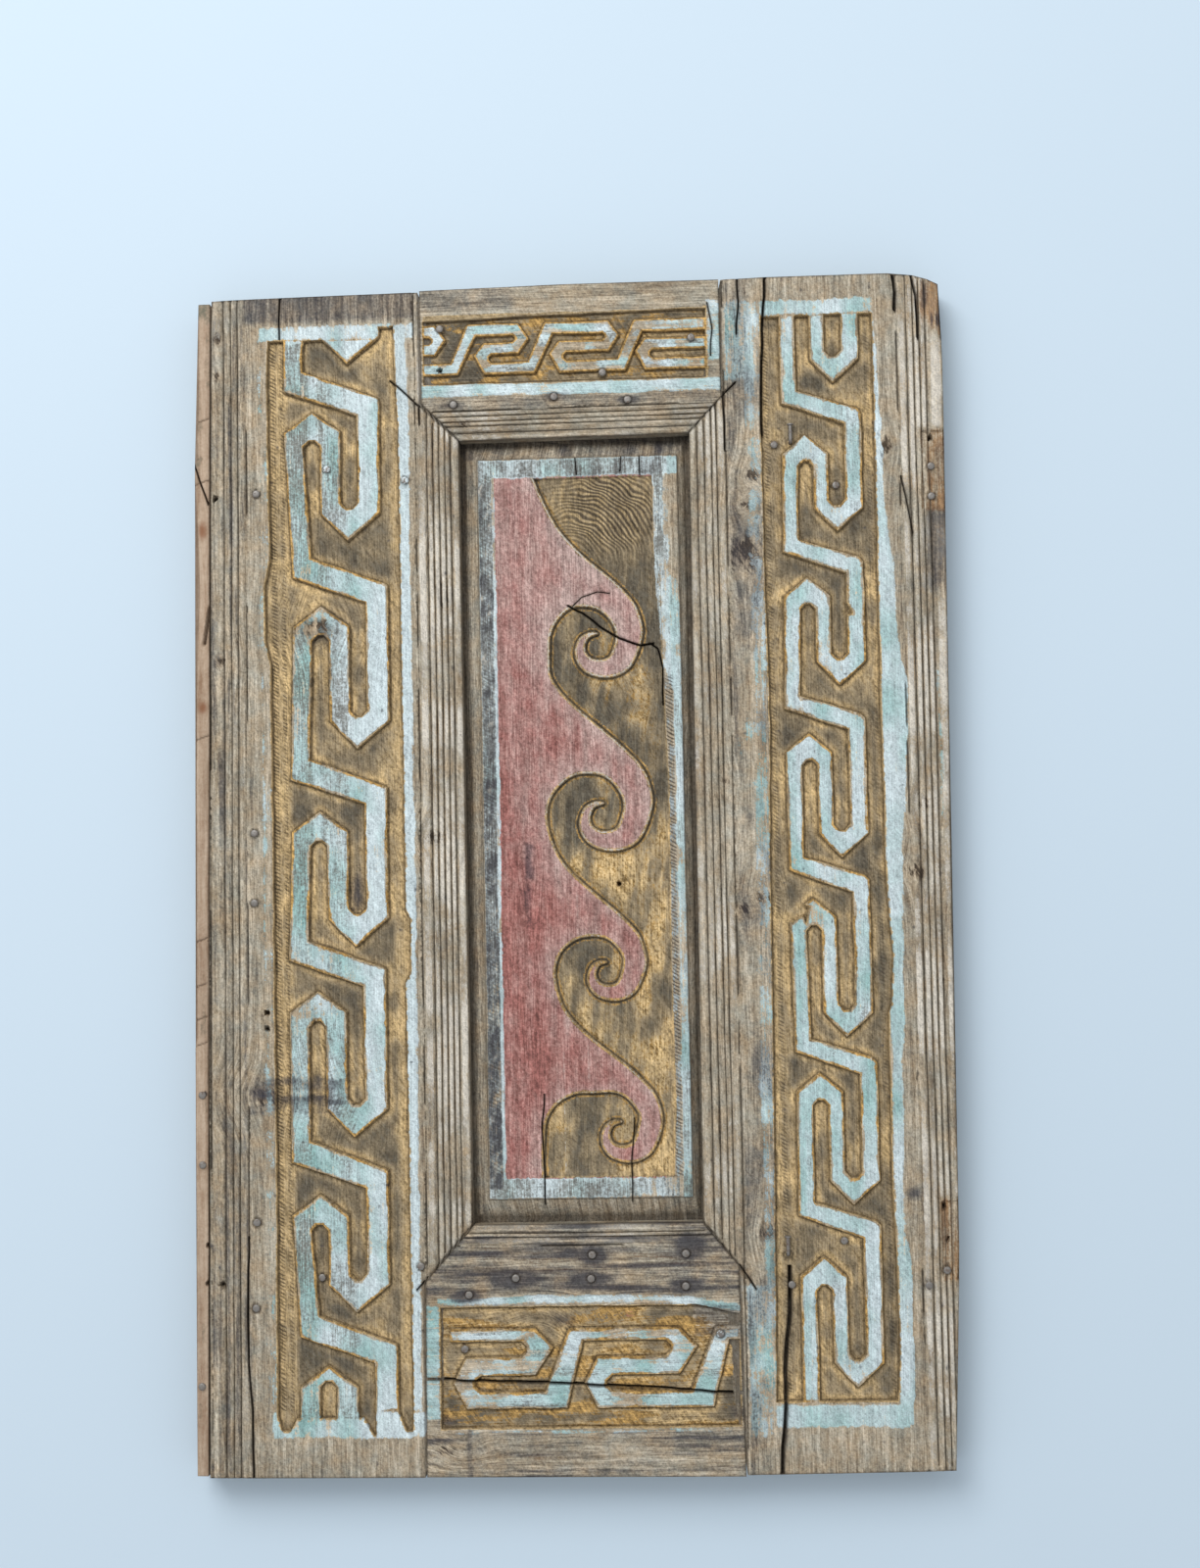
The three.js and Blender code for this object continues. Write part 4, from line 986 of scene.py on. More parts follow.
def right_stile_paint(x, y, shape, seed):
    p = meander_paint(x, y, shape, seed, 5.5)
    into = shape["into"]
    drift = 1.3 * rough(x, y, 24, 18, seed + 120)
    plain = into < 0
    lay(p, x, y, drift, plain, [
        ("blue", 0.5, 1, 0, 121, 133, -352, 372, 5),
        ("blue", 0.66, 1, 0, 108, 132, 326, 382, 6),
        ("blue", 0.6, 1, 0, 108, 129, -372, -272, 6),
        ("blue", 0.85, 0, 1, 133, 210, 369.5, 380, 3.4),
        ("blue", 0.9, 0, 1, 126, 213, -365.5, -350.5, 3.4)])
    over(p, "blue", 0.62 * spot(x + 3 * drift, y, (121, 88), 11, 15) * plain)
    heights = [-370, -350, -330, -260, -240, -200, -160, -140, -100, -70, -10, 20, 40, 80, 120,
               130, 150, 190, 215, 240, 260, 300, 330, 370, 380]
    reach = [216, 216, 217, 217, 214, 214, 215, 215, 217, 217, 219, 220, 222, 224.5, 225, 223,
             219.5, 218.5, 217, 214, 213, 213, 211, 210, 210]
    right = np.interp(y, heights, reach) + drift
    stripe = np.clip(np.minimum(right - x, x - 207.5) / 3.2 + 0.5, 0, 1)
    over(p, "blue", 0.9 * stripe * (y < 378) * (y > -364) * plain)
    over(p, "blue", 0.5 * patch(x, y, 243.5, 249, 30, 130, 3))
    p["teal"] = np.clip(p["teal"] + 0.5 * (x > 240) + 0.2 * (x < 150), 0, 1)
    p["dirt"] = p["dirt"] * (1 - 0.35 * patch(x, y, 128, 142, -350, 362, 3))
    dusty = rough(x, y, 12, 32, seed + 121)
    over(p, "dirt", (shape["raised"] > 0) * np.clip(0.22 + 0.7 * dusty, 0, 1))
    over(p, "dirt", plain * (x < 133) * np.clip(0.35 + 0.9 * dusty, 0, 1))
    seats = np.maximum(patch(x, y, 237, 262, 234, 291, 4), patch(x, y, 236, 262, -273, -218, 4))
    p["pale"] = p["pale"] * np.where(x > 200, 1.7, 1.1) * (1 - seats)
    rotten = np.clip(1.7 * spot(x + 2 * drift, y, (252, 377), 11, 22), 0, 1)
    over(p, "rust", np.clip(seats * (0.85 + 0.6 * dusty) + rotten, 0, 1))
    splinters = noise(x, y, 2.0, 13, seed + 122)
    over(p, "stain", np.clip(0.36 + 0.9 * splinters, 0, 1) * np.maximum(rotten, 0.55 * seats))
    over(p, "stain", 0.6 * plain * patch(x, y, 109, 133, -400, 400, 3) * np.clip(0.75 + dusty, 0, 1))
    over(p, "stain", 0.74 * patch(x + 2 * drift, y, 238, 258, 180, 238, 14))
    over(p, "stain", 0.9 * spot(x, y, (220, -215), 7, 6) + 0.6 * spot(x, y, (124, -240), 9, 10))
    over(p, "stain", 0.5 * spot(x, y, (115, -185), 16, 20))
    over(p, "pale", 0.8 * spot(x, y, (227, 284), 4, 5))
    over(p, "tick", np.maximum(
        0.8 * patch(x, y, 134, 138.4, -345, 366, 1.4), 0.6 * patch(x, y, 202, 206, -345, 366, 1.4))
        * ramp(into, 0.2, 1))
    over(p, "stain", 0.9 * nicks(x, y, "right_stile"))
    return p


def top_rail_paint(x, y, shape, seed):
    p = meander_paint(x, y, shape, seed, 3.2)
    into, raised = shape["into"], shape["raised"]
    drift = 0.8 * rough(x, y, 20, 14, seed + 130)
    grey = spot(x, y, (20, 352), 58, 26)
    p["blue"] = ramp(raised, 0.3, 1.3) * (
        0.72 - 0.34 * grey + 0.36 * noise(x, y, 9, 7, seed) + 0.2 * spot(x, y, (-84, 350), 20, 20))
    p["edge"] = ramp(raised, -0.7, 0.0) * (1 - ramp(raised, 0.6, 1.4))
    p["dirt"] = np.clip(p["dirt"] * 1.1 + 0.1, 0, 1)
    dusty = rough(x, y, 16, 6, seed + 131)
    over(p, "dirt", (raised > 0) * np.clip(0.5 + 0.35 * grey + 0.9 * dusty, 0, 1))
    over(p, "edge", np.clip(0.4 + 0.9 * dusty, 0, 0.8) * (into > 0.4))
    lay(p, x, y, drift, 1, [
        ("ochre", 0.8, 0, 1, -94, 97, 369.5, 376.5, 2.4),
        ("ochre", 0.8, 0, 1, -94, 97, 328.5, 336.5, 2.4),
        ("ochre", 0.8, 0, 0, 95.5, 98, 330, 378, 1.4),
        ("dirt", 0.4, 0, 1, -94, 97, 369, 376.5, 2.4),
        ("dirt", 0.4, 0, 1, -94, 97, 328.5, 336.5, 2.4),
        ("blue", 0.82, 0, 1, -96, 107, 320.5, 329, 3.0),
        ("blue", 0.68, 0, 1, 97.5, 107, 340, 382, 3.4),
        ("stain", 0.5, 0, 1, -96, 106, 310, 321, 4),
        ("stain", 0.55, 0, 0, -98, -30, 377, 400, 9)])
    for at in ((-74, 315.5), (-6, 319), (43.5, 315.5)):
        over(p, "stain", 0.9 * spot(x, y, at, 13, 4.5))
    over(p, "stain", 0.7 * nicks(x, y, "top_rail"))
    return p


def bottom_rail_paint(x, y, shape, seed):
    p = meander_paint(x, y, shape, seed, 5.0)
    into, raised = shape["into"], shape["raised"]
    drift = rough(x, y, 20, 14, seed + 140)
    line_y = np.interp(x, [-93, 60, 104], [-281, -281, -287])
    blue_line = np.clip(1 - np.abs(y + drift - line_y) / 4.2, 0, 1) ** 0.6
    p["blue"] = p["blue"] * (0.84 + 0.2 * noise(x, y, 26, 12, seed + 141))
    dusty = rough(x, y, 30, 7, seed + 142)
    over(p, "dirt", (raised > 0) * np.clip(0.42 + 0.9 * dusty, 0, 1))
    over(p, "edge", np.clip(0.5 + 0.9 * dusty, 0, 0.9) * (into > 0.4))
    over(p, "rust", 0.45 * patch(x, y, -66, 76, -268, -246, 10))
    over(p, "blue", 0.86 * blue_line * (into < 0) * (x > -94))
    over(p, "blue", 0.7 * patch(x + drift, y, -103, -92.5, -358, -283, 3.2) * (into < 0))
    over(p, "blue", 0.5 * patch(x, y + 2 * drift, -95, 100, -368, -364.4, 2))
    corner = patch(x, y, 73, 106, -307, -284, 5)
    over(p, "stain", 0.6 * corner)
    p["ochre"] = p["ochre"] * (1 - 0.7 * corner)
    over(p, "ochre", 0.8 * spot(x, y, (32, -303), 4, 4))
    p["blue"] = p["blue"] * (1 - 0.6 * spot(x, y, (32, -343), 8, 9))
    over(p, "red", 0.9 * spot(x, y, (33, -290), 4.4, 3.4))
    stains = [((8.5, -252), 14, 8), ((73, -248), 15, 11), ((-42, -266.5), 25, 8),
              ((7.5, -267.5), 19, 7), ((69.5, -273), 15, 6), ((-73, -277.5), 13, 5)]
    for at, wide, tall in stains:
        ragged = spot(x + 4 * drift, y + 1.5 * drift, at, wide, tall)
        over(p, "stain", np.clip(1.35 * ragged, 0, 1))
    streaky = rough(x, y, 60, 3.4, seed + 143) + 0.5 * noise(x, y, 34, 1.5, seed + 144)
    for base, y0, y1, soft in ((0.7, -279, -256, 9), (0.56, -258, -225, 5), (0.48, -402, -366, 3)):
        over(p, "stain", np.clip(base + 0.6 * streaky, 0, 1) * patch(x, y, -112, 112, y0, y1, soft))
    over(p, "stain", 0.9 * spot(x, y, (103, -355), 8, 7) + 0.8 * spot(x, y, (-88, -360), 10, 6))
    over(p, "stain", 0.7 * patch(x + drift, y, -76.5, -71.5, -396, -363, 3))
    over(p, "stain", 0.75 * spot(x, y, (-12, -295), 12, 7))
    over(p, "pale", 0.95 * spot(x, y, (-21, -241.5), 3, 2))
    over(p, "rust", 0.45 * spot(x, y, (-28, -384), 14, 11))
    p["stain"] = np.where(raised > 1, p["stain"], np.maximum(p["stain"], 0.3 * (into > 0.5)))
    over(p, "stain", 0.7 * nicks(x, y, "bottom_rail"))
    return p


def panel_paint(x, y, shape, seed):
    p = bare(x)
    into, wave, out = shape["into"], shape["raised"], shape["out"]
    field = out < 0
    drift = 0.7 * rough(x, y, 18, 14, seed + 150)
    p["ochre"] = ramp(into, -0.3, 0.3)
    red = patch(x, y, -48.4, 58.4, -203.6, 266.6, 1.6) * (into <= 0) * (wave > 0)
    p["red"] = red * (1.0 + 0.16 * rough(x, y, 24, 40, seed + 151)) * ramp(wave, 0.7, 1.5)
    near_wave = np.exp(-np.maximum(wave, 0) / 16)
    faded = ramp(y, -40, 220) * 0.22
    brushed = 0.2 * rough(x, y, 26, 60, seed + 152) + 0.22 * rough(x, y, 5, 46, seed + 156)
    p["pale"] = np.clip(red * (0.12 + 0.5 * near_wave + faded + brushed), 0, 0.9)
    lines = np.maximum(np.exp(-((wave - 0.7) / 0.85) ** 2),
                       0.9 * np.exp(-((wave + 2.3) / 0.75) ** 2))
    p["edge"] = lines * (out < 0) * (y < 266) * (y > -203)
    streaks = rough(x - 0.15 * y, y, 4, 30, seed + 153)
    clouds = rough(x, y, 22, 26, seed + 154)
    lower = ramp(y, 100, -60)
    curled = np.maximum.reduce([
        spot(x, y, (eye[0] - 18, eye[1] + 4), 15, 27) for eye, *_ in CRESTS])
    p["dirt"] = ramp(into, 0, 1.5) * np.clip(
        0.72 - 0.45 * lower + 0.4 * curled + 0.6 * streaks + 0.8 * clouds, 0, 1)
    arch, opened = ripple(x, y, seed)
    golden = 0.3 + 0.14 * lower - 0.4 * clouds - 0.35 * streaks - 0.5 * opened - 0.45 * curled
    over(p, "edge", ramp(into, 1.5, 4) * np.clip(golden, 0, 0.45))
    p["arch"], p["opened"] = arch / RIPPLE_SPAN, opened * ramp(into, 0, 1)
    p["dirt"] = p["dirt"] * (1 - p["opened"]) + 0.3 * p["opened"]
    over(p, "dirt", 0.8 * spot(x, y, (30, 112), 28, 12) * ramp(into, 0, 1))
    left = patch(x + drift, y, -59.8, -49.6, -210, 268, 1.6) * field
    lower_left = ramp(y, 60, -120)
    dusty = rough(x, y, 9, 24, seed + 157)
    dashes = rough(x - 0.5 * y, y, 2.6, 5, seed + 158)
    over(p, "blue", left * (0.85 - 0.2 * lower_left))
    over(p, "dirt", left)
    over(p, "stain", left * np.clip(0.56 + 0.2 * lower_left + 0.4 * dusty - 0.4 * dashes, 0, 1))
    over(p, "pale", left * np.clip(0.2 + 0.7 * dashes, 0, 0.7))
    beside_red = patch(x + drift, y, -50.6, -47.4, -210, 268, 1.6) * field
    over(p, "blue", beside_red * np.clip(0.62 + 0.5 * dusty, 0, 1))
    top_strip = patch(x, y + drift, -60, 76, 266, 279, 2.4) * field
    low_strip = patch(x, y + drift, -60, 76, -216, -202.8, 2.4) * field
    over(p, "blue", 0.95 * top_strip + low_strip * (0.95 - 0.4 * ramp(x, 10, 60)))
    over(p, "dirt", top_strip * np.clip(1.0 - 0.4 * ramp(x, 40, 66) + 0.5 * dusty, 0, 1))
    over(p, "dirt", low_strip * np.clip(0.85 + 0.7 * dusty, 0, 1))
    over(p, "stain", top_strip * np.clip(0.42 + 0.4 * dusty, 0, 1))
    inner = np.interp(y, [-216, 120, 135, 200, 270], [69.6, 69.6, 63.3, 58.6, 58.6])
    right = np.interp(y, [-216, 190, 205, 270], [75.8, 75.8, 70.2, 70.2])
    stripe = np.clip(np.minimum(x - inner, right - x) / 2 + 0.5, 0, 1) * field
    over(p, "blue", stripe * np.clip(0.66 + 0.5 * dusty, 0, 1))
    strip = patch(x, y, 64.2, 70, -203, 130, 1.4) * (into < 0)
    over(p, "stain", 0.4 * strip)
    over(p, "blue", 0.5 * strip)
    over(p, "tick", np.maximum(0.55 * left, strip))
    p["teal"] = np.clip(0.1 + 0.4 * noise(x, y, 12, 30, seed + 155) + 0.3 * (x > 69), 0, 1)
    trough = ramp(into, 0, 1) * np.exp(-np.abs(wave + 6) / 6)
    over(p, "pale", 0.3 * trough)
    for x0, y0, y1 in ((3, -45, -15), (8.5, -140, -113), (-8, -200, -120)):
        over(p, "pale", 0.7 * patch(x, y, x0 - 0.5, x0 + 0.5, y0, y1, 0.6))
    over(p, "stain", 0.7 * patch(x + 3 * drift, y, -33, -25, -6, 20, 5) * (into < 0))
    over(p, "stain", 0.6 * spot(x + 4 * drift, y, (-31, -20), 5, 22) * (into < 0))
    # The bevel beside the frame is darkened all round as grime and painted shade, and the strip
    # along the top, under the top rail, gets a painted shadow.
    over(p, "dirt", 0.65 * ramp(out, 0.0, 0.1))
    over(p, "stain", 0.35 * ramp(out, 0.02, 0.3))
    over(p, "stain", np.clip(0.62 + 0.5 * dusty, 0, 1) * ramp(y, 277, 281))
    over(p, "dirt", stripe * np.clip(0.4 + 0.4 * ramp(y, 150, 215) + 0.7 * dusty, 0, 1))
    return p


def lath_paint(x, y, shape, seed):
    p = bare(x)
    over(p, "dirt", 0.75 * ramp(y, 366, 382))
    over(p, "rust", 0.3 * patch(x, y, -256, -240, -362, -296, 20))
    over(p, "dirt", 0.5 * ramp(rough(x, y, 8, 50, seed + 160), 0.0, 0.5))
    for at in ((-247, -143), (-243, -187), (-241, -134), (-246.5, -335)):
        over(p, "stain", 0.8 * spot(x, y, at, 2, 3))
    over(p, "stain", 0.8 * nicks(x, y, "edge_lath"))
    return p


# Each board: its face, its paint, whether it stands upright, where its pith is, its underside
BOARDS = {
    "left_stile": (board_face, left_stile_paint, True, -330, 0.0),
    "right_stile": (board_face, right_stile_paint, True, 20, 0.0),
    "top_rail": (board_face, top_rail_paint, False, 210, 0.0),
    "bottom_rail": (board_face, bottom_rail_paint, False, -470, 0.0),
    "panel": (panel_face, panel_paint, True, -190, TONGUE["low"]),
    "edge_lath": (lath_face, lath_paint, True, -300, LATH["low"]),
}


# Meshes


def rectangle(area, grow):
    """The corners of an area, anticlockwise, moved outwards."""
    left, right = area["left"] - grow, area["right"] + grow
    low, high = area["low"] - grow, area["high"] + grow
    return [(left, low), (right, low), (right, high), (left, high)]


def plan_of(board):
    """The board's outline, run anticlockwise and nibbled a little by wear."""
    if board == "panel":
        return densify(rectangle(OPENING, -SIGHT_GAP), 1.6)
    outline = OUTLINES[board]
    if signed_area(outline) < 0:
        outline = outline[::-1]
    p = densify(outline, 1.5)
    nibble = 0.08 + 0.3 * np.maximum(0, noise(p[:, 0], p[:, 1], 5, 7, sizes().seed + 9))
    return p - (shifted(p, 1.0) - p) * nibble[:, None]


def feature_lines(board, cut):
    """Lines that the mesh follows so that walls, cracks and steps stay crisp."""
    # Line offsets, positive outwards: the ground lies outside the band and inside the others
    offsets = {"band": (-0.7, 0.0, 0.9), "field": (-0.9, 0.0), "ground": (-0.9, 0.0, 0.7)}
    lines = groove_lines(board) if board in REEDS else []
    for name, points in cut.items():
        turn = -1 if signed_area(points) < 0 else 1
        for off in offsets.get(name, ()):
            lines.append((shifted(points, turn * off), True))
    lines += [(densify(points, 1.6), True) for points in BREAKS.get(board, ())]
    for points, width, _ in CRACKS[board]:
        dense = crack_line(points)
        lines.append((dense, False))
        for side in (-1, 1):
            lines.append((shifted(dense, side * width * CRACK_FLANK, closed=False), False))
    if board == "panel":
        lines += [(densify(rectangle(FIELD, off), 2.0), True) for off in (0.0, 0.3)]
    if board == "right_stile":
        for _, right, low, high in HINGE_SEATS:
            seat = {"left": 238.0, "right": right, "low": low, "high": high}
            lines.append((densify(rectangle(seat, 0), 2.0), True))
    return lines


def clear_of(rim, lines, margin=0.5):
    """The stretches of some lines that run inside a board and keep clear of its outline."""
    kept = []
    for points, closed in lines:
        p = np.vstack([points, points[:1]]) if closed else np.asarray(points)
        clear = (depth_in(p[:, 0], p[:, 1], rim) > margin).astype(int)
        turns = np.flatnonzero(np.diff(np.concatenate([[0], clear, [0]])))
        kept += [(p[a:b], False) for a, b in turns.reshape(-1, 2) if b - a > 1]
    return kept


def triangulate(points, edges):
    """Delaunay triangles within an outline that keep the given edges: places, triangles."""
    inner_only = 1
    verts, _, faces, *_ = delaunay_2d_cdt(
        [Vector(p) for p in points], edges, [], inner_only, 1e-4, False)
    return np.array([tuple(v) for v in verts]), np.array(
        [f for f in faces if len(f) == 3], dtype=np.int64)


def loops_as_input(lines):
    points, edges, start = [], [], 0
    for line, closed in lines:
        count = len(line)
        points.append(line)
        edges += [(start + i, start + i + 1) for i in range(count - 1)]
        if closed:
            edges.append((start + count - 1, start))
        start += count
    return np.vstack(points), edges


def facing(verts, tris, way):
    """Triangles whose corners all run anticlockwise from above, or clockwise for -1."""
    a, b, c = (verts[tris[:, i]] for i in range(3))
    area = (b[:, 0] - a[:, 0]) * (c[:, 1] - a[:, 1]) - (b[:, 1] - a[:, 1]) * (c[:, 0] - a[:, 0])
    wrong = way * area < 0
    tris[wrong] = tris[wrong][:, ::-1]
    return tris


def face_plan(board, rim, cut):
    """Triangles over the board's plan, fine across the grain and longer along it."""
    upright = BOARDS[board][2]
    step = sizes().grain_step / MM * 1
    step *= {"edge_lath": 0.6, "panel": 0.86, "top_rail": 0.8, "bottom_rail": 0.85}.get(board, 1)
    across, along = step, step * 1.38
    dx, dy = (across, along) if upright else (along, across)
    low, high = rim.min(axis=0), rim.max(axis=0)
    gx, gy = np.meshgrid(np.arange(low[0], high[0], dx), np.arange(low[1], high[1], dy))
    gx, gy = gx.ravel(), gy.ravel()
    random = np.random.default_rng(sizes().seed)
    gx = gx + random.uniform(-0.18, 0.18, len(gx)) * dx
    gy = gy + random.uniform(-0.18, 0.18, len(gy)) * dy
    lines = [(rim, True)] + clear_of(rim, feature_lines(board, cut))
    keep = inside(gx, gy, rim) & (distance(gx, gy, lines, 1.0) > 0.42)
    fixed, edges = loops_as_input(lines)
    points = np.vstack([fixed, np.column_stack([gx[keep], gy[keep]])])
    verts, tris = triangulate(points, edges)
    used, inverse = np.unique(tris, return_inverse=True)
    return verts[used], facing(verts[used], inverse.reshape(-1, 3), 1)


def rim_edges(tris):
    """Edges used by one triangle only, in that triangle's direction."""
    edges = np.vstack([tris[:, [0, 1]], tris[:, [1, 2]], tris[:, [2, 0]]])
    key = np.sort(edges, axis=1)
    _, first, count = np.unique(key, axis=0, return_index=True, return_counts=True)
    return edges[first[count == 1]]


def slab(verts, tris, top, low):
    """A closed board: the carved face, worn sides with a few rings, and a flat back."""
    edges = rim_edges(tris)
    rim = np.unique(edges)
    at = np.full(len(verts), -1)
    at[rim] = np.arange(len(rim))
    count = len(rim)
    places = [np.column_stack([verts, top])]
    shares = (0.66, 0.33, 0.0)
    base = len(verts)
    for share in shares:
        z = low + (top[rim] - low) * share
        places.append(np.column_stack([verts[rim], z]))
    faces = [tris]
    upper = edges
    for ring in range(len(shares)):
        lower = base + ring * count + at[edges]
        faces.append(np.column_stack([upper[:, 1], upper[:, 0], lower[:, 0]]))
        faces.append(np.column_stack([upper[:, 1], lower[:, 0], lower[:, 1]]))
        upper = lower
    flat, back = triangulate(verts[rim], [tuple(e) for e in at[edges].tolist()])
    if len(flat) != count:
        raise RuntimeError("the outline of a board crosses itself")
    faces.append(facing(flat, back, -1) + base + (len(shares) - 1) * count)
    return np.vstack(places), np.vstack(faces)


def mesh_object(name, places, faces):
    """An object from places in millimetres and from faces, as an array or a list."""
    mesh = bpy.data.meshes.new(name)
    rows = faces.tolist() if isinstance(faces, np.ndarray) else faces
    mesh.from_pydata((np.asarray(places) * MM).tolist(), [], rows)
    mesh.validate()
    piece = bpy.data.objects.new(name, mesh)
    bpy.context.scene.collection.objects.link(piece)
    return piece


def box_mesh(x, y, z):
    corners = [(a, b, c) for c in z for b in y for a in x]
    faces = [(0, 2, 3), (0, 3, 1), (4, 5, 7), (4, 7, 6), (0, 1, 5), (0, 5, 4), (2, 6, 7),
             (2, 7, 3), (0, 4, 6), (0, 6, 2), (1, 3, 7), (1, 7, 5)]
    return corners, faces


def rods(places, radius, lows, highs, sides=12):
    """Upright rods as one mesh, for nail holes."""
    points, faces = [], []
    turn = np.arange(sides) * 2 * math.pi / sides
    for (x, y), top, bottom in zip(places, highs, lows):
        base = len(points)
        for z in (bottom, top):
            points += [(x + radius * math.cos(a), y + radius * math.sin(a), z) for a in turn]
        for i in range(sides):
            j = (i + 1) % sides
            faces += [(base + i, base + j, base + sides + j),
                      (base + i, base + sides + j, base + sides + i)]
            if 0 < i < sides - 1:
                faces += [(base, base + i + 1, base + i),
                          (base + sides, base + sides + i, base + sides + i + 1)]
    return points, faces


def combine(piece, shape, operation):
    """Cuts a shape out of a piece, or joins it on."""
    tool = mesh_object("tool", *shape)
    step = piece.modifiers.new("combine", "BOOLEAN")
    step.operation, step.solver, step.object = operation, "MANIFOLD", tool
    depsgraph = bpy.context.evaluated_depsgraph_get()
    result = bpy.data.meshes.new_from_object(piece.evaluated_get(depsgraph))
    piece.modifiers.clear()
    old, piece.data = piece.data, result
    bpy.data.meshes.remove(old)
    tool_mesh = tool.data
    bpy.data.objects.remove(tool)
    bpy.data.meshes.remove(tool_mesh)
    if not len(result.polygons):
        raise RuntimeError(f"nothing is left of {piece.name}")


def tenon_box(key, grow=0.0):
    shoulder, side, span = TENONS[key]
    tip = shoulder + side * (TENON["length"] + (TENON["spare"] if grow else 0))
    root = shoulder - side * 10
    return box_mesh(
        (min(root, tip), max(root, tip)), (span[0] - grow, span[1] + grow),
        (TENON["low"] - grow, TENON["high"] + grow))


def joinery(piece, board):
    """Grooves, mortises, tenons and nail holes."""
    reach = TONGUE["reach"]
    if board == "panel":
        combine(piece, box_mesh(
            (OPENING["left"] - reach, OPENING["right"] + reach),
            (OPENING["low"] - reach, OPENING["high"] + reach),
            (TONGUE["low"], TONGUE["high"])), "UNION")
        return
    side = {"left_stile": "left", "right_stile": "right"}.get(board)
    row = {"top_rail": "top", "bottom_rail": "bottom"}.get(board)
    for key in TENONS:
        if row and key.startswith(row):
            combine(piece, tenon_box(key), "UNION")
        if side and key.endswith(side):
            combine(piece, tenon_box(key, GAP), "DIFFERENCE")
    if side or row:
        combine(piece, box_mesh(
            (OPENING["left"] - reach - 1, OPENING["right"] + reach + 1),
            (OPENING["low"] - reach - 1, OPENING["high"] + reach + 1),
            (TONGUE["low"] - GAP, TONGUE["high"] + GAP)), "DIFFERENCE")
    places, lows, highs = [], [], []
    for owner, face, at, _ in NAILS:
        if owner == board:
            places += at
            lows += [face - NAIL_LENGTH.get(board, LONG_NAIL) - GAP] * len(at)
            highs += [face + 1] * len(at)
    if places:
        combine(piece, rods(places, NAIL_HOLE, lows, highs), "DIFFERENCE")


def under_heads(board, x, y, z):
    """Wood stands at its full height under a nail's head."""
    for owner, face, at, _ in NAILS:
        if owner != board:
            continue
        for nail in at:
            near = ramp(np.hypot(x - nail[0], y - nail[1]), 4.2, 2.8)
            z = z + (np.minimum(face, z + 1.2) - z) * near
    return z


def build_board(board, slot):
    """Makes one board of the door and puts it in place of its solid."""
    face, _, _, _, low = BOARDS[board]
    cut = cut_lines(board)
    verts, tris = face_plan(board, plan_of(board), cut)
    top = face(board, verts[:, 0], verts[:, 1], cut)["z"]
    top = np.clip(under_heads(board, verts[:, 0], verts[:, 1], top), low + 2, None)
    piece = mesh_object(f"carved_{board}", *slab(verts, tris, top, low))
    joinery(piece, board)
    paint_board(piece, board, cut)
    piece.data.shade_smooth()
    piece.data.set_sharp_from_angle(angle=math.radians(42))
    piece.data.materials.clear()
    piece.data.materials.append(finish_for(slot))
    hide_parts(board)
    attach(piece, "root")


def write_layer(mesh, name, values):
    layer = mesh.attributes.new(name, "FLOAT", "POINT")
    layer.data.foreach_set("value", np.asarray(values, np.float32))


def places_of(mesh):
    """The x, y and z of a mesh's points in millimetres."""
    co = np.empty(len(mesh.vertices) * 3, np.float32)
    mesh.vertices.foreach_get("co", co)
    return (co.reshape(-1, 3).astype(float) / MM).T


def paint_board(piece, board, cut):
    """Stores each paint layer and the run of the grain on the board's points."""
    face, paint, upright, pith, _ = BOARDS[board]
    mesh = piece.data
    x, y, z = places_of(mesh)
    shape = face(board, x, y, cut)
    layers = paint(x, y, shape, sizes().seed)
    below = ramp(shape["z"] - z, 1.2, 2.4)
    for name, values in layers.items():
        write_layer(mesh, name, np.clip(values, 0, 1) * (1 - below))
    # Points well below the face, on the sides and inside the joints, lose their paint and take a
    # fixed share of grime and painted shade.
    write_layer(mesh, "hollow", shape["hollow"] * (1 - below) + 0.35 * below)
    write_layer(mesh, "knot", shape["core"])
    write_layer(mesh, "ring", np.hypot(shape["grain"] - pith, z + 35))
    write_layer(mesh, "run", y if upright else x)


# Materials


def feed(tree, node, inputs):
    """Fills a node's inputs, each with a value, an output, or a node's first output."""
    for name, value in inputs.items():
        if isinstance(value, bpy.types.Node):
            value = value.outputs[0]
        if isinstance(value, bpy.types.NodeSocket):
            tree.links.new(value, node.inputs[name])
        else:
            node.inputs[name].default_value = value


def add(tree, kind, inputs=None, **settings):
    """Adds a node with its settings and fills its inputs."""
    node = tree.nodes.new(kind)
    for name, value in settings.items():
        setattr(node, name, value)
    feed(tree, node, inputs or {})
    return node


def new_material(name):
    """An empty material, its node tree, its shader and its object coordinates."""
    material = bpy.data.materials.new(name)
    material.use_nodes = True
    tree = material.node_tree
    tree.nodes.clear()
    shader = add(tree, "ShaderNodeBsdfPrincipled", {"Metallic": 0.0, "IOR": 1.5})
    add(tree, "ShaderNodeOutputMaterial", {0: shader})
    return material, tree, shader, add(tree, "ShaderNodeTexCoord").outputs["Object"]


def hue(value):
    """A property's colour as a node socket takes it."""
    return (*value, 1.0)


def coat(tree, under, paint, cover, wear, full=1.1, bite=0.2, opaque=1.0):
    """Paint over what is below, broken up by wear. Gives the colour and where it covers."""
    reach = add(tree, "ShaderNodeMath", {0: cover, 1: full}, operation="MULTIPLY")
    left = add(tree, "ShaderNodeMath", {0: reach, 1: wear}, operation="SUBTRACT")
    mask = add(tree, "ShaderNodeMapRange", {
        "Value": left, "From Max": bite, "To Max": opaque},
        interpolation_type="SMOOTHSTEP")
    mixed = add(tree, "ShaderNodeMix", {0: mask, 6: under, 7: paint}, data_type="RGBA")
    return mixed.outputs[2], mask


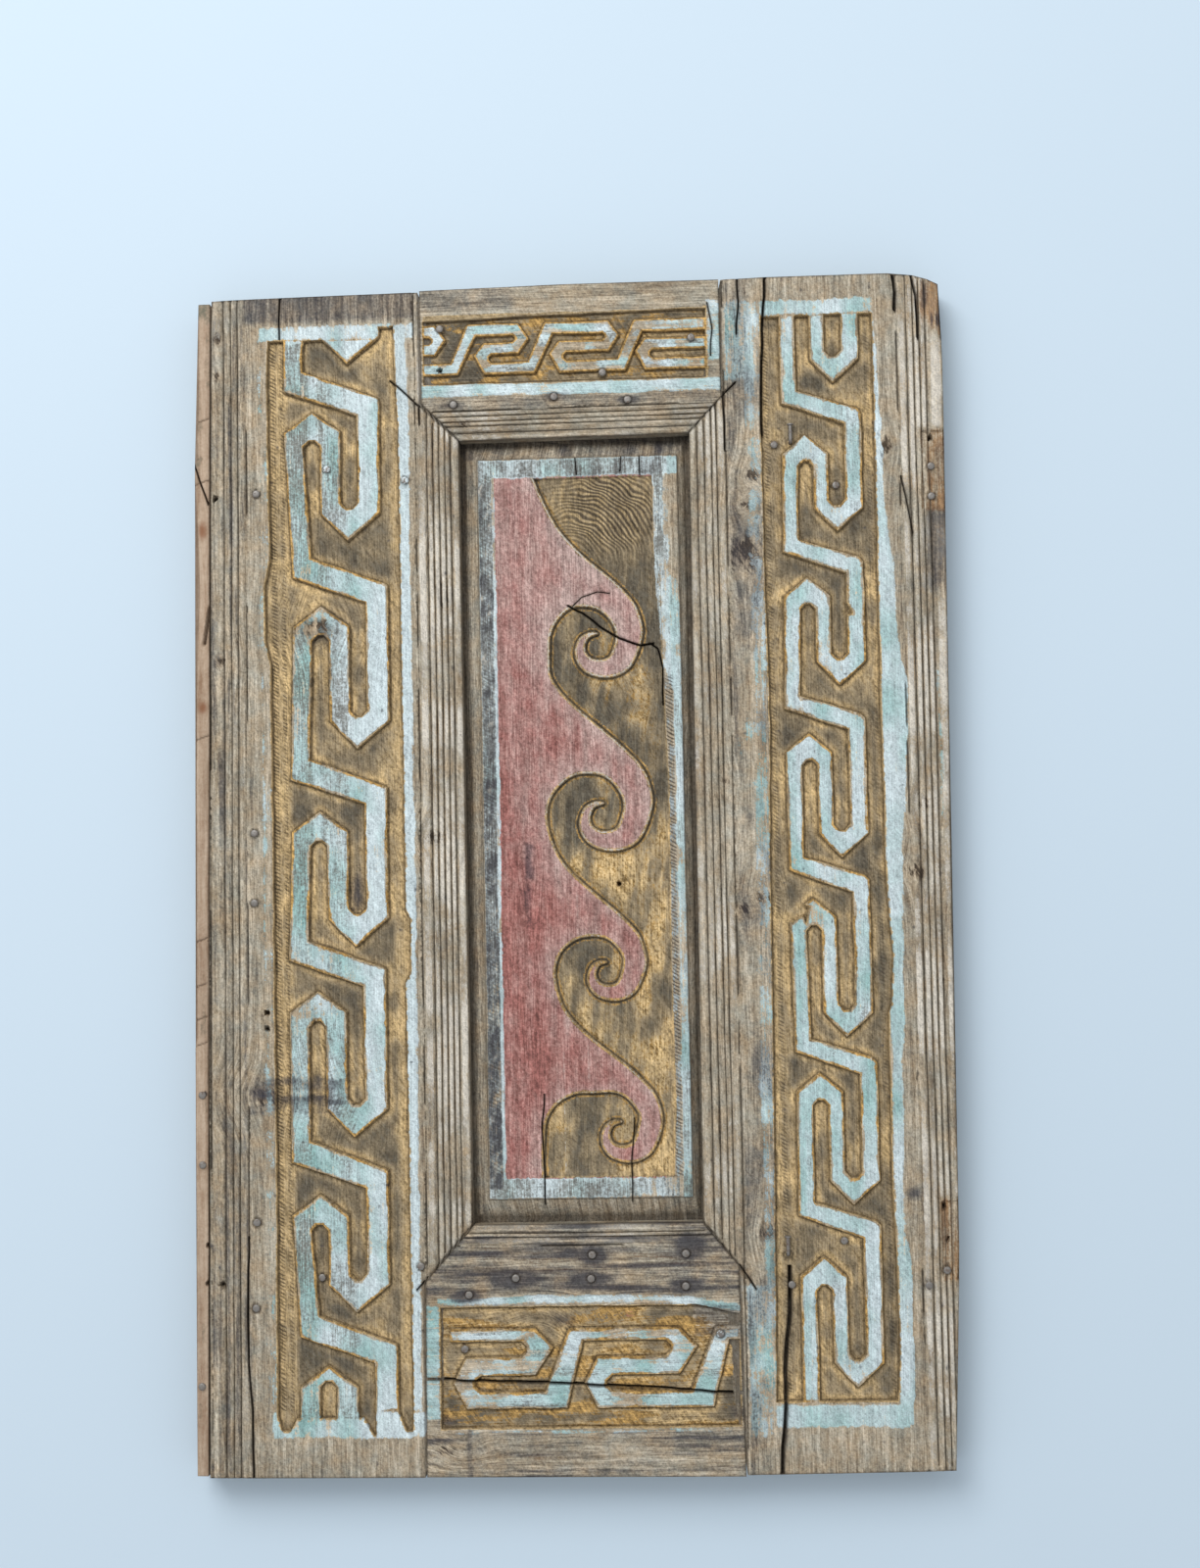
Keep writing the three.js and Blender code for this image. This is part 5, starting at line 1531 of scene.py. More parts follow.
def even(tree, value, spread=0.17):
    """Spreads a noise that crowds round one half over the whole of 0 to 1."""
    return add(tree, "ShaderNodeMapRange", {
        "Value": value, "From Min": 0.5 - spread, "From Max": 0.5 + spread})


def grain_patterns(tree, place, layers):
    """Streaks of the year rings, fibres, patches and specks, each from 0 to 1.

    Rings are about 3 mm apart and 60 mm or more long. A fibre is thinner than the render
    can show, so it is drawn 0.8 mm wide.
    """
    def streaks(stretch, scale, detail, roughness):
        along = add(tree, "ShaderNodeMath", {0: layers["run"], 1: stretch},
                    operation="MULTIPLY")
        at = add(tree, "ShaderNodeCombineXYZ", {"X": layers["ring"], "Y": along})
        return even(tree, add(tree, "ShaderNodeTexNoise", {
            "Vector": at, "Scale": scale, "Detail": detail,
            "Roughness": roughness}))

    patches = even(tree, add(tree, "ShaderNodeTexNoise", {
        "Vector": place, "Scale": 75.0, "Detail": 5.0, "Roughness": 0.62}))
    specks = even(tree, add(tree, "ShaderNodeTexNoise", {
        "Vector": place, "Scale": 560.0, "Detail": 2.0, "Roughness": 0.7}), 0.2)
    return streaks(0.03, 0.33, 4.0, 0.6), streaks(0.05, 1.15, 3.0, 0.7), patches, specks


def tool_marks(tree, place):
    """Short slanting strokes of a gouge, about 2 mm wide and 7 mm long, from 0 to 1."""
    turned = add(tree, "ShaderNodeVectorRotate", {"Vector": place, "Angle": math.radians(52)},
                 rotation_type="Z_AXIS")
    long = add(tree, "ShaderNodeVectorMath", {0: turned, 1: (0.28, 1.0, 1.0)},
               operation="MULTIPLY")
    return even(tree, add(tree, "ShaderNodeTexNoise", {
        "Vector": long, "Scale": 480.0, "Detail": 3.0, "Roughness": 0.65}))


def rope_ticks(tree, place, wander):
    """Slanting ticks, from 0 between them to 1 in them."""
    parts = add(tree, "ShaderNodeSeparateXYZ", {0: place}).outputs
    turns = 2 * math.pi / (TICK_PITCH * MM)
    slant = add(tree, "ShaderNodeMath", {0: parts["X"], 1: 0.55, 2: parts["Y"]},
                operation="MULTIPLY_ADD")
    phase = add(tree, "ShaderNodeMath", {0: slant, 1: turns, 2: wander},
                operation="MULTIPLY_ADD")
    wave = add(tree, "ShaderNodeMath", {0: phase}, operation="SINE")
    return add(tree, "ShaderNodeMapRange", {"Value": wave, "From Min": -0.1, "From Max": 0.75},
               interpolation_type="SMOOTHSTEP")


def shares(tree, *parts):
    """A weighted sum of (value, weight) pairs."""
    total = 0.0
    for value, weight in parts:
        total = add(tree, "ShaderNodeMath", {0: value, 1: weight, 2: total},
                    operation="MULTIPLY_ADD")
    return total


def tones(tree, value, first, *steps):
    """A ladder of colours. Each step is (start, end, colour) and blends in over its values."""
    below = hue(first)
    for start, end, shade in steps:
        share = add(tree, "ShaderNodeMapRange", {
            "Value": value, "From Min": start, "From Max": end})
        below = add(tree, "ShaderNodeMix", {0: share, 6: below, 7: hue(shade)},
                    data_type="RGBA").outputs[2]
    return below


def painted_softwood(name):
    """Old softwood boards, brushed with thin chalky oil paint and worn by weather.

    The eye gets grey wood with grooves darkened by grime and painted shade, paint that flakes
    along the grain, pale rubbed edges beside the carving, and grime and painted shade in the
    hollows, cuts and cracks. Nothing on it shines.
    """
    finish = bpy.context.scene.door_finish
    material, tree, shader, place = new_material(name)
    layers = {
        layer: add(tree, "ShaderNodeAttribute", attribute_name=layer).outputs["Fac"]
        for layer in (*LAYERS, "hollow", "knot", "ring", "run")
    }
    rings, fibres, patches, specks = grain_patterns(tree, place, layers)
    strokes = tool_marks(tree, place)
    clouds = even(tree, add(tree, "ShaderNodeTexNoise", {
        "Vector": place, "Scale": 17.0, "Detail": 4.0, "Roughness": 0.6}))
    tone = shares(tree, (rings, 0.45), (fibres, 0.25), (specks, 0.1), (clouds, 0.2))
    wood = tones(tree, tone, finish.wood_dark, (0.16, 0.44, finish.wood_mid),
                 (0.46, 0.78, finish.wood_light))
    tint = add(tree, "ShaderNodeMix", {
        0: patches, 6: hue(finish.wood_cool), 7: hue(finish.wood_warm)},
        data_type="RGBA").outputs[2]
    wood = add(tree, "ShaderNodeMix", {0: 0.34, 6: wood, 7: tint}, data_type="RGBA").outputs[2]
    wood, _ = coat(tree, wood, hue(srgb("#7A644C")), layers["knot"], patches, bite=0.9,
                   opaque=0.6)
    knot_wear = even(tree, shares(tree, (fibres, 0.55), (strokes, 0.45)), 0.4)
    wood, _ = coat(tree, wood, hue(srgb("#33271C")), layers["knot"], knot_wear, full=0.85,
                   bite=0.45, opaque=0.85)

    wear = even(tree, shares(
        tree, (rings, 0.3), (patches, 0.3), (fibres, 0.2), (specks, 0.2)), 0.36)
    fine_wear = even(tree, shares(tree, (fibres, 0.4), (specks, 0.35), (patches, 0.25)), 0.4)
    grimy = shares(tree, (layers["dirt"], 1.0), (strokes, 0.38), (patches, 0.3), (specks, 0.16))
    ground = tones(tree, grimy, finish.ochre_light, (0.36, 0.86, finish.ochre),
                   (0.82, 1.45, finish.ochre_dark))
    turns = RIPPLE_SPAN * 2 * math.pi / RIPPLE_PITCH
    rings_open = add(tree, "ShaderNodeMath", {
        0: shares(tree, (layers["arch"], turns), (patches, 2.2))}, operation="SINE")
    rings_open = add(tree, "ShaderNodeMapRange", {
        "Value": rings_open, "From Min": -0.55, "From Max": 0.5})
    rings_open = add(tree, "ShaderNodeMath", {0: rings_open, 1: layers["opened"]},
                     operation="MULTIPLY")
    ground = add(tree, "ShaderNodeMix", {
        0: shares(tree, (rings_open, 0.85)), 6: ground, 7: hue(finish.soot)},
        data_type="RGBA").outputs[2]
    worked = add(tree, "ShaderNodeMapRange", {
        "Value": shares(tree, (strokes, 0.5), (specks, 0.28), (fibres, 0.22)),
        "From Min": 0.22, "From Max": 0.78, "To Min": 0.57, "To Max": 1.48})
    ground = add(tree, "ShaderNodeVectorMath", {0: ground, 1: worked},
                 operation="MULTIPLY")
    below, _ = coat(tree, wood, ground, layers["ochre"], wear, full=1.4, opaque=0.94)

    fade = shares(tree, (layers["pale"], 1.0), (patches, 0.24), (specks, 0.16), (fibres, 0.2))
    reds = tones(tree, fade, finish.red_dark, (0.1, 0.5, finish.red),
                 (0.45, 1.1, finish.red_pale))
    brushed = add(tree, "ShaderNodeMapRange", {
        "Value": shares(tree, (fibres, 0.45), (specks, 0.4), (strokes, 0.15)),
        "From Min": 0.2, "From Max": 0.8, "To Min": 0.84, "To Max": 1.17})
    reds = add(tree, "ShaderNodeVectorMath", {0: reds, 1: brushed},
               operation="MULTIPLY")
    below, red_mask = coat(tree, below, reds, layers["red"], wear, full=1.25, opaque=0.92)
    golden = add(tree, "ShaderNodeVectorMath", {0: finish.edge, 1: worked},
                 operation="MULTIPLY")
    below, _ = coat(tree, below, golden, layers["edge"], fine_wear, full=1.15, bite=0.3)
    film = shares(tree, (layers["teal"], 1.0), (patches, 0.4), (fibres, 0.2), (specks, 0.1))
    blues = tones(tree, film, finish.pale_blue, (0.35, 1.35, finish.teal))
    below, blue_mask = coat(tree, below, blues, layers["blue"], wear, opaque=0.88)
    dusty = add(tree, "ShaderNodeMath", {0: layers["dirt"], 1: blue_mask},
                operation="MULTIPLY")
    below, _ = coat(tree, below, hue(finish.film), dusty, fine_wear, full=1.2, bite=0.8,
                    opaque=0.85)

    off_red = add(tree, "ShaderNodeMath", {0: layers["pale"], 1: red_mask},
                  operation="SUBTRACT", use_clamp=True)
    below, _ = coat(tree, below, hue(srgb("#D3CBBD")), off_red, fine_wear,
                    bite=0.5)
    below, _ = coat(tree, below, hue(finish.rust), layers["rust"], wear, bite=0.5, opaque=0.8)
    soft_wear = shares(tree, (wear, 0.45))
    below, _ = coat(tree, below, hue(finish.stain), layers["stain"], soft_wear, bite=0.9,
                    opaque=0.88)
    # The chisel ticks are drawn dark in the grime-and-shade colour: grime and painted shade in the
    # cuts.
    broken = shares(tree, (layers["tick"], 1.0), (specks, 0.5), (patches, 0.6))
    here = add(tree, "ShaderNodeMapRange", {
        "Value": broken, "From Min": 0.9, "From Max": 1.7})
    ticks_in = add(tree, "ShaderNodeMath", {
        0: rope_ticks(tree, place, shares(tree, (patches, 3.4), (clouds, 7.0))),
        1: here}, operation="MULTIPLY")
    below = add(tree, "ShaderNodeMix", {
        0: shares(tree, (ticks_in, 0.75)), 6: below, 7: hue(finish.soot)},
        data_type="RGBA").outputs[2]
    # Grime and painted shade, darkest in grooves, cuts, cracks and holes, mixed in with the
    # grime-and-shade colour.
    soot = add(tree, "ShaderNodeMath", {0: layers["hollow"], 1: 0.86}, operation="MULTIPLY")
    below = add(tree, "ShaderNodeMix", {
        0: soot, 6: below, 7: hue(finish.soot)}, data_type="RGBA").outputs[2]
    grit = even(tree, add(tree, "ShaderNodeTexNoise", {
        "Vector": place, "Scale": 1250.0, "Detail": 1.0}), 0.22)
    shade = add(tree, "ShaderNodeMapRange", {
        "Value": shares(tree, (fibres, 0.32), (specks, 0.24), (strokes, 0.22), (grit, 0.22)),
        "From Min": 0.2, "From Max": 0.8, "To Min": 0.54, "To Max": 1.39})
    below = add(tree, "ShaderNodeVectorMath", {0: below, 1: shade},
                operation="MULTIPLY")

    dull = add(tree, "ShaderNodeMapRange", {
        "Value": blue_mask, "To Min": 0.88, "To Max": 0.7})
    height = shares(tree, (fibres, 0.4), (specks, 0.34), (strokes, 0.34), (blue_mask, 0.18),
                    (ticks_in, -0.5), (rings_open, -0.6), (grit, 0.14))
    bump = add(tree, "ShaderNodeBump", {
        "Height": height, "Strength": 0.8, "Distance": 0.0007})
    feed(tree, shader, {"Base Color": below, "Roughness": dull, "Normal": bump,
                        "Specular IOR Level": 0.3})
    return material


def sawn_softwood(name):
    """A newer softwood lath, straight off the saw: bare tan wood with fuzzy saw lines."""
    finish = bpy.context.scene.door_finish
    material, tree, shader, place = new_material(name)
    layers = {
        layer: add(tree, "ShaderNodeAttribute", attribute_name=layer).outputs["Fac"]
        for layer in ("dirt", "rust", "stain", "hollow", "knot", "ring", "run")
    }
    rings, fibres, patches, specks = grain_patterns(tree, place, layers)
    tone = even(tree, shares(tree, (rings, 0.4), (fibres, 0.25), (specks, 0.2), (patches, 0.2)),
                0.38)
    wood = add(tree, "ShaderNodeMix", {
        0: tone, 6: hue(finish.lath_dark), 7: hue(finish.lath_light)}, data_type="RGBA")
    knotty = add(tree, "ShaderNodeMath", {0: layers["knot"], 1: 0.8}, operation="MULTIPLY")
    below = add(tree, "ShaderNodeMix", {
        0: knotty, 6: wood.outputs[2], 7: hue(srgb("#7A4A2A"))},
        data_type="RGBA").outputs[2]
    wear = shares(tree, (rings, 0.4), (patches, 0.4), (specks, 0.2))
    below, _ = coat(tree, below, hue(srgb("#6F6C5C")), layers["dirt"], wear, bite=0.5)
    below, _ = coat(tree, below, hue(srgb("#C98A55")), layers["rust"], wear, bite=0.6)
    below, _ = coat(tree, below, hue(srgb("#3A3330")), layers["stain"], wear, bite=0.5)
    # Grime and painted shade in the saw cuts, the scoop, cracks, holes and along the rim.
    soot = add(tree, "ShaderNodeMath", {0: layers["hollow"], 1: 0.75}, operation="MULTIPLY")
    below = add(tree, "ShaderNodeMix", {
        0: soot, 6: below, 7: hue(srgb("#3A2A1C"))}, data_type="RGBA").outputs[2]
    bump = add(tree, "ShaderNodeBump", {
        "Height": shares(tree, (fibres, 0.6), (specks, 0.4)), "Strength": 0.5,
        "Distance": 0.0005})
    feed(tree, shader, {"Base Color": below, "Roughness": 0.85, "Normal": bump,
                        "Specular IOR Level": 0.3})
    return material


def rusted_iron(name):
    """Iron wire nails gone dull: dark grey metal with soft brown rust and some wear."""
    finish = bpy.context.scene.door_finish
    material, tree, shader, place = new_material(name)
    bloom = add(tree, "ShaderNodeTexNoise", {
        "Vector": place, "Scale": 420.0, "Detail": 4.0, "Roughness": 0.65})
    share = add(tree, "ShaderNodeMapRange", {
        "Value": bloom, "From Min": 0.5, "From Max": 0.74})
    below = add(tree, "ShaderNodeMix", {
        0: share, 6: hue(finish.iron), 7: hue(srgb("#5C4738"))}, data_type="RGBA").outputs[2]
    painted = add(tree, "ShaderNodeAttribute", attribute_name="blue").outputs["Fac"]
    below, film = coat(tree, below, hue(finish.pale_blue), painted, even(tree, bloom),
                       opaque=0.75)
    covered = shares(tree, (share, 1.0), (film, 1.3))
    bare_metal = add(tree, "ShaderNodeMapRange", {
        "Value": covered, "To Min": 0.6, "To Max": 0.0})
    dull = add(tree, "ShaderNodeMapRange", {
        "Value": share, "To Min": 0.5, "To Max": 0.85})
    bump = add(tree, "ShaderNodeBump", {"Height": bloom, "Strength": 0.5, "Distance": 0.0003})
    feed(tree, shader, {"Base Color": below, "Metallic": bare_metal, "Roughness": dull,
                        "Normal": bump})
    return material


def floor_finish(name):
    """Matt painted studio floor with no pattern, so that nothing draws the eye off the door."""
    material, tree, shader, place = new_material(name)
    cloudy = add(tree, "ShaderNodeTexNoise", {
        "Vector": place, "Scale": 1.2, "Detail": 2.0})
    floor = bpy.context.scene.door_stage.floor
    below = add(tree, "ShaderNodeMix", {
        0: cloudy, 6: hue(floor), 7: hue([c * 0.96 for c in floor])}, data_type="RGBA")
    feed(tree, shader, {"Base Color": below.outputs[2], "Roughness": 0.9})
    return material


FINISHES = {
    "old_softwood": ("weathered_painted_softwood", painted_softwood),
    "panel_softwood": ("weathered_painted_panel_softwood", painted_softwood),
    "newer_softwood": ("bare_sawn_softwood", sawn_softwood),
    "nail_iron": ("rusted_iron", rusted_iron),
    "floor": ("matt_studio_floor", floor_finish),
}


def finish_for(slot):
    """The material of a slot, made the first time it is asked for."""
    name, make = FINISHES[slot]
    return bpy.data.materials.get(name) or make(name)


# Nails


def nail_rows():
    """Every nail as (node, board, place, face height, bent), numbered as the solids are."""
    rows, count = [], 0
    for board, face, places, bent in NAILS:
        for place in places:
            count += 1
            rows.append((f"nail_{count:02d}", board, place, face, bent))
    return rows


def nail_tree():
    """Nails on points: a pointed shank and a head that leans a little its own way."""
    tree = bpy.data.node_groups.new("driven nails", "GeometryNodeTree")
    face = tree.interface
    face.new_socket("Points", in_out="INPUT", socket_type="NodeSocketGeometry")
    for name in ("Head Diameter", "Head Height", "Shank Diameter", "Length", "Tilt"):
        face.new_socket(name, in_out="INPUT", socket_type="NodeSocketFloat")
    face.new_socket("Seed", in_out="INPUT", socket_type="NodeSocketInt")
    face.new_socket("Metal", in_out="INPUT", socket_type="NodeSocketMaterial")
    face.new_socket("Nails", in_out="OUTPUT", socket_type="NodeSocketGeometry")
    given = add(tree, "NodeGroupInput").outputs

    shank = add(tree, "ShaderNodeMath", {0: given["Shank Diameter"], 1: 0.5},
                operation="MULTIPLY")
    head = add(tree, "ShaderNodeMath", {0: given["Head Diameter"], 1: 0.5},
               operation="MULTIPLY")
    tip = add(tree, "ShaderNodeMath", {0: given["Length"], 1: -1.0},
              operation="MULTIPLY")
    tip_end = add(tree, "ShaderNodeMath", {0: tip, 1: NAIL_TIP * MM},
                  operation="ADD")
    # From the tip up: the share of the radius, of shank or head, and the height
    steps = [
        (shank, 0.12, tip, 0.0), (shank, 1.0, tip_end, 0.0), (shank, 1.0, 0.0, 0.0),
        (head, 0.94, 0.0, 0.02), (head, 1.0, 0.0, 0.35), (head, 0.95, 0.0, 0.75),
        (head, 0.78, 0.0, 0.97), (head, 0.4, 0.0, 1.06),
    ]
    line = add(tree, "GeometryNodeCurvePrimitiveLine", {"End": (0, 0, 0.02)})
    line = add(tree, "GeometryNodeResampleCurve", {0: line, "Count": len(steps)})
    index = add(tree, "GeometryNodeInputIndex")
    radius = add(tree, "GeometryNodeIndexSwitch", {"Index": index}, data_type="FLOAT")
    height = add(tree, "GeometryNodeIndexSwitch", {"Index": index}, data_type="FLOAT")
    for switch in (radius, height):
        while len(switch.index_switch_items) < len(steps):
            switch.index_switch_items.new()
    for i, (size, share, base, rise) in enumerate(steps):
        wide = add(tree, "ShaderNodeMath", {0: size, 1: share}, operation="MULTIPLY")
        tall = add(tree, "ShaderNodeMath", {0: given["Head Height"], 1: rise, 2: base},
                   operation="MULTIPLY_ADD")
        lifted = add(tree, "ShaderNodeMath", {0: tall, 1: GAP * MM if i > 1 else 0.0},
                     operation="ADD")
        feed(tree, radius, {str(i): wide})
        feed(tree, height, {str(i): lifted})
    at = add(tree, "ShaderNodeCombineXYZ", {"Z": height})
    line = add(tree, "GeometryNodeSetPosition", {0: line, "Position": at})
    ring = add(tree, "GeometryNodeCurvePrimitiveCircle", {"Resolution": 14, "Radius": 1.0})
    nail = add(tree, "GeometryNodeCurveToMesh", {
        "Curve": line, "Profile Curve": ring,
        "Scale": radius, "Fill Caps": True})
    own = add(tree, "GeometryNodeInputPosition")
    nail = add(tree, "GeometryNodeStoreNamedAttribute", {
        0: nail, "Name": "own", "Value": own}, data_type="FLOAT_VECTOR",
        domain="POINT")

    tilt = given["Tilt"]
    least = add(tree, "ShaderNodeMath", {0: tilt, 1: -1.0}, operation="MULTIPLY")
    low = add(tree, "ShaderNodeCombineXYZ", {"X": least, "Y": least})
    high = add(tree, "ShaderNodeCombineXYZ", {"X": tilt, "Y": tilt})
    lean = add(tree, "FunctionNodeRandomValue", {"Min": low, "Max": high, "Seed": given["Seed"]},
               data_type="FLOAT_VECTOR")
    points = add(tree, "GeometryNodeStoreNamedAttribute", {
        0: given["Points"], "Name": "lean", "Value": lean}, data_type="FLOAT_VECTOR",
        domain="POINT")
    placed = add(tree, "GeometryNodeInstanceOnPoints", {
        "Points": points, "Instance": nail})
    real = add(tree, "GeometryNodeRealizeInstances", {0: placed})

    stored = [
        add(tree, "GeometryNodeInputNamedAttribute", {"Name": name},
            data_type="FLOAT_VECTOR")
        for name in ("own", "lean")
    ]
    rise = add(tree, "ShaderNodeVectorMath", {0: stored[0], 1: stored[1]},
               operation="DOT_PRODUCT").outputs["Value"]
    own_height = add(tree, "ShaderNodeSeparateXYZ", {0: stored[0]}).outputs["Z"]
    in_head = add(tree, "FunctionNodeCompare", {0: own_height, 1: 0.9 * GAP * MM},
                  operation="GREATER_THAN")
    shift = add(tree, "ShaderNodeCombineXYZ", {"Z": rise})
    leant = add(tree, "GeometryNodeSetPosition", {
        0: real, "Selection": in_head, "Offset": shift})
    dressed = add(tree, "GeometryNodeSetMaterial", {
        0: leant, "Material": given["Metal"]})
    smooth = add(tree, "GeometryNodeSetShadeSmooth", {0: dressed})
    add(tree, "NodeGroupOutput", {0: smooth})
    return tree


def paint_on_nails(mesh, rows):
    """Share of blue paint on each point of some nails, from the board around them."""
    x, y, _ = places_of(mesh)
    blue = np.zeros_like(x)
    for board in {row[1] for row in rows}:
        heads = np.array([row[2] for row in rows if row[1] == board], float)
        face, paint = BOARDS[board][:2]
        around = heads + (0.5, 0)
        shape = face(board, *around.T, cut_lines(board))
        shares_of_blue = paint(*around.T, shape, sizes().seed)["blue"]
        for (head_x, head_y), share in zip(heads, shares_of_blue):
            blue = np.where(np.hypot(x - head_x, y - head_y) < 4, share * 0.6, blue)
    return blue


def driven_nails(name, rows, long):
    """Straight nails of one length as one piece, in place of their solids."""
    nails = bpy.context.scene.door_nails
    piece = mesh_object(name, [(x, y, face) for _, _, (x, y), face, _ in rows], [])
    step = piece.modifiers.new("nails", "NODES")
    step.node_group = bpy.data.node_groups.get("driven nails") or nail_tree()
    values = {
        "Head Diameter": nails.head, "Head Height": nails.head_height,
        "Shank Diameter": nails.shank, "Length": long * MM, "Tilt": nails.tilt,
        "Seed": nails.seed, "Metal": finish_for("nail_iron"),
    }
    for socket in step.node_group.interface.items_tree:
        if socket.in_out == "INPUT" and socket.name in values:
            step[socket.identifier] = values[socket.name]
    result = bpy.data.meshes.new_from_object(
        piece.evaluated_get(bpy.context.evaluated_depsgraph_get()))
    piece.modifiers.clear()
    piece.data = result
    if not len(result.polygons):
        raise RuntimeError(f"{name} came out empty")
    write_layer(result, "blue", paint_on_nails(result, rows))
    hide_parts(*(row[0] for row in rows))
    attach(piece, "root")


def bent_nails(name, rows):
    """Nails hammered over so that they lie along the board, head at the far end."""
    nails = bpy.context.scene.door_nails
    shank, head = nails.shank / MM / 2, nails.head / MM / 2 * 0.9
    sides, quarter, turn_radius = 12, 6, 2.0
    points, faces = [], []
    for _, board, (x, y), face, _ in rows:
        lie = face + BENT_LIFT
        path = [(0.0, face - LONG_NAIL, 0.15, 0.0), (0.0, face - LONG_NAIL + NAIL_TIP, 1, 0.0)]
        for i in range(quarter + 1):
            turn = i / quarter * math.pi / 2
            path.append((turn_radius * (1 - math.cos(turn)),
                         lie - turn_radius + turn_radius * math.sin(turn), 1, turn))
        flat = math.pi / 2
        path.append((BENT_ROD - 0.5, lie, 1, flat))
        for along, share in ((-0.5, 0.97), (-0.1, 1.0), (0.3, 0.97), (0.5, 0.8)):
            path.append((BENT_ROD + along, lie, share * head / shank, flat))
        base = len(points)
        for forward, height, share, turn in path:
            for k in range(sides):
                a = k * 2 * math.pi / sides
                side, up = shank * share * math.cos(a), shank * share * math.sin(a)
                points.append((x + side, y + forward + up * math.cos(turn),
                               height - up * math.sin(turn)))
        rings = len(path)
        for r in range(rings - 1):
            for k in range(sides):
                a, b = base + r * sides + k, base + r * sides + (k + 1) % sides
                faces.append((a, b, b + sides, a + sides))
        faces.append(tuple(base + k for k in reversed(range(sides))))
        faces.append(tuple(base + (rings - 1) * sides + k for k in range(sides)))
    piece = mesh_object(name, points, faces)
    piece.data.materials.append(finish_for("nail_iron"))
    piece.data.shade_smooth()
    piece.data.set_sharp_from_angle(angle=math.radians(50))
    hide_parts(*(row[0] for row in rows))
    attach(piece, "root")


# Stage

CAMERA_AT = (83.03, -30.96, 1475.78)
CAMERA_TURN = (3.5, 2.5, -1.3)  # degrees: tipped, swung and rolled, as the door was photographed
CAMERA_LENS = 50.0
FLOOR_DROP = 0.2
FLOOR_SIZE = 6000.0
KEY_AT = (-0.9, 1.7, 2.3)
KEY_SIZE = 1.8


def build_floor():
    half, low = FLOOR_SIZE / 2, -FLOOR_DROP
    floor = mesh_object("floor", [
        (-half, -half, low), (half, -half, low), (half, half, low), (-half, half, low)],
        [(0, 1, 2, 3)])
    floor.data.materials.append(finish_for("floor"))


def build_camera():
    camera = bpy.data.objects.new("camera", bpy.data.cameras.new("camera"))
    bpy.context.scene.collection.objects.link(camera)
    camera.data.lens = CAMERA_LENS
    tipped, swung, rolled = (math.radians(a) for a in CAMERA_TURN)
    turn = (Matrix.Rotation(tipped, 4, "X") @ Matrix.Rotation(swung, 4, "Y")
            @ Matrix.Rotation(rolled, 4, "Z"))
    camera.matrix_world = Matrix.Translation(Vector(CAMERA_AT) * MM) @ turn
    bpy.context.scene.camera = camera


def build_lights():
    stage = bpy.context.scene.door_stage
    lamp = bpy.data.lights.new("key", "AREA")
    lamp.energy, lamp.size = stage.key, KEY_SIZE
    key = bpy.data.objects.new("key", lamp)
    bpy.context.scene.collection.objects.link(key)
    key.location = KEY_AT
    key.rotation_euler = (-Vector(KEY_AT)).to_track_quat("-Z", "Y").to_euler()
    world = bpy.data.worlds.new("studio")
    bpy.context.scene.world = world
    world.use_nodes = True
    background = world.node_tree.nodes["Background"]
    background.inputs["Color"].default_value = (0.93, 0.96, 1.0, 1.0)
    background.inputs["Strength"].default_value = stage.fill
    bpy.context.scene.view_settings.view_transform = "Standard"


# Operators


class DOOR_OT_stiles(bpy.types.Operator):
    """Carve and paint the two uprights"""
    bl_idname = "door.stiles"
    bl_label = "Stiles"

    def execute(self, context):
        build_board("left_stile", "old_softwood")
        build_board("right_stile", "old_softwood")
        return {"FINISHED"}


class DOOR_OT_rails(bpy.types.Operator):
    """Carve and paint the two crosspieces"""
    bl_idname = "door.rails"
    bl_label = "Rails"

    def execute(self, context):
        build_board("top_rail", "old_softwood")
        build_board("bottom_rail", "old_softwood")
        return {"FINISHED"}


class DOOR_OT_panel(bpy.types.Operator):
    """Carve and paint the panel with the running wave"""
    bl_idname = "door.panel"
    bl_label = "Panel"

    def execute(self, context):
        build_board("panel", "panel_softwood")
        return {"FINISHED"}


class DOOR_OT_lath(bpy.types.Operator):
    """Make the newer lath on the left edge"""
    bl_idname = "door.lath"
    bl_label = "Edge lath"

    def execute(self, context):
        build_board("edge_lath", "newer_softwood")
        return {"FINISHED"}


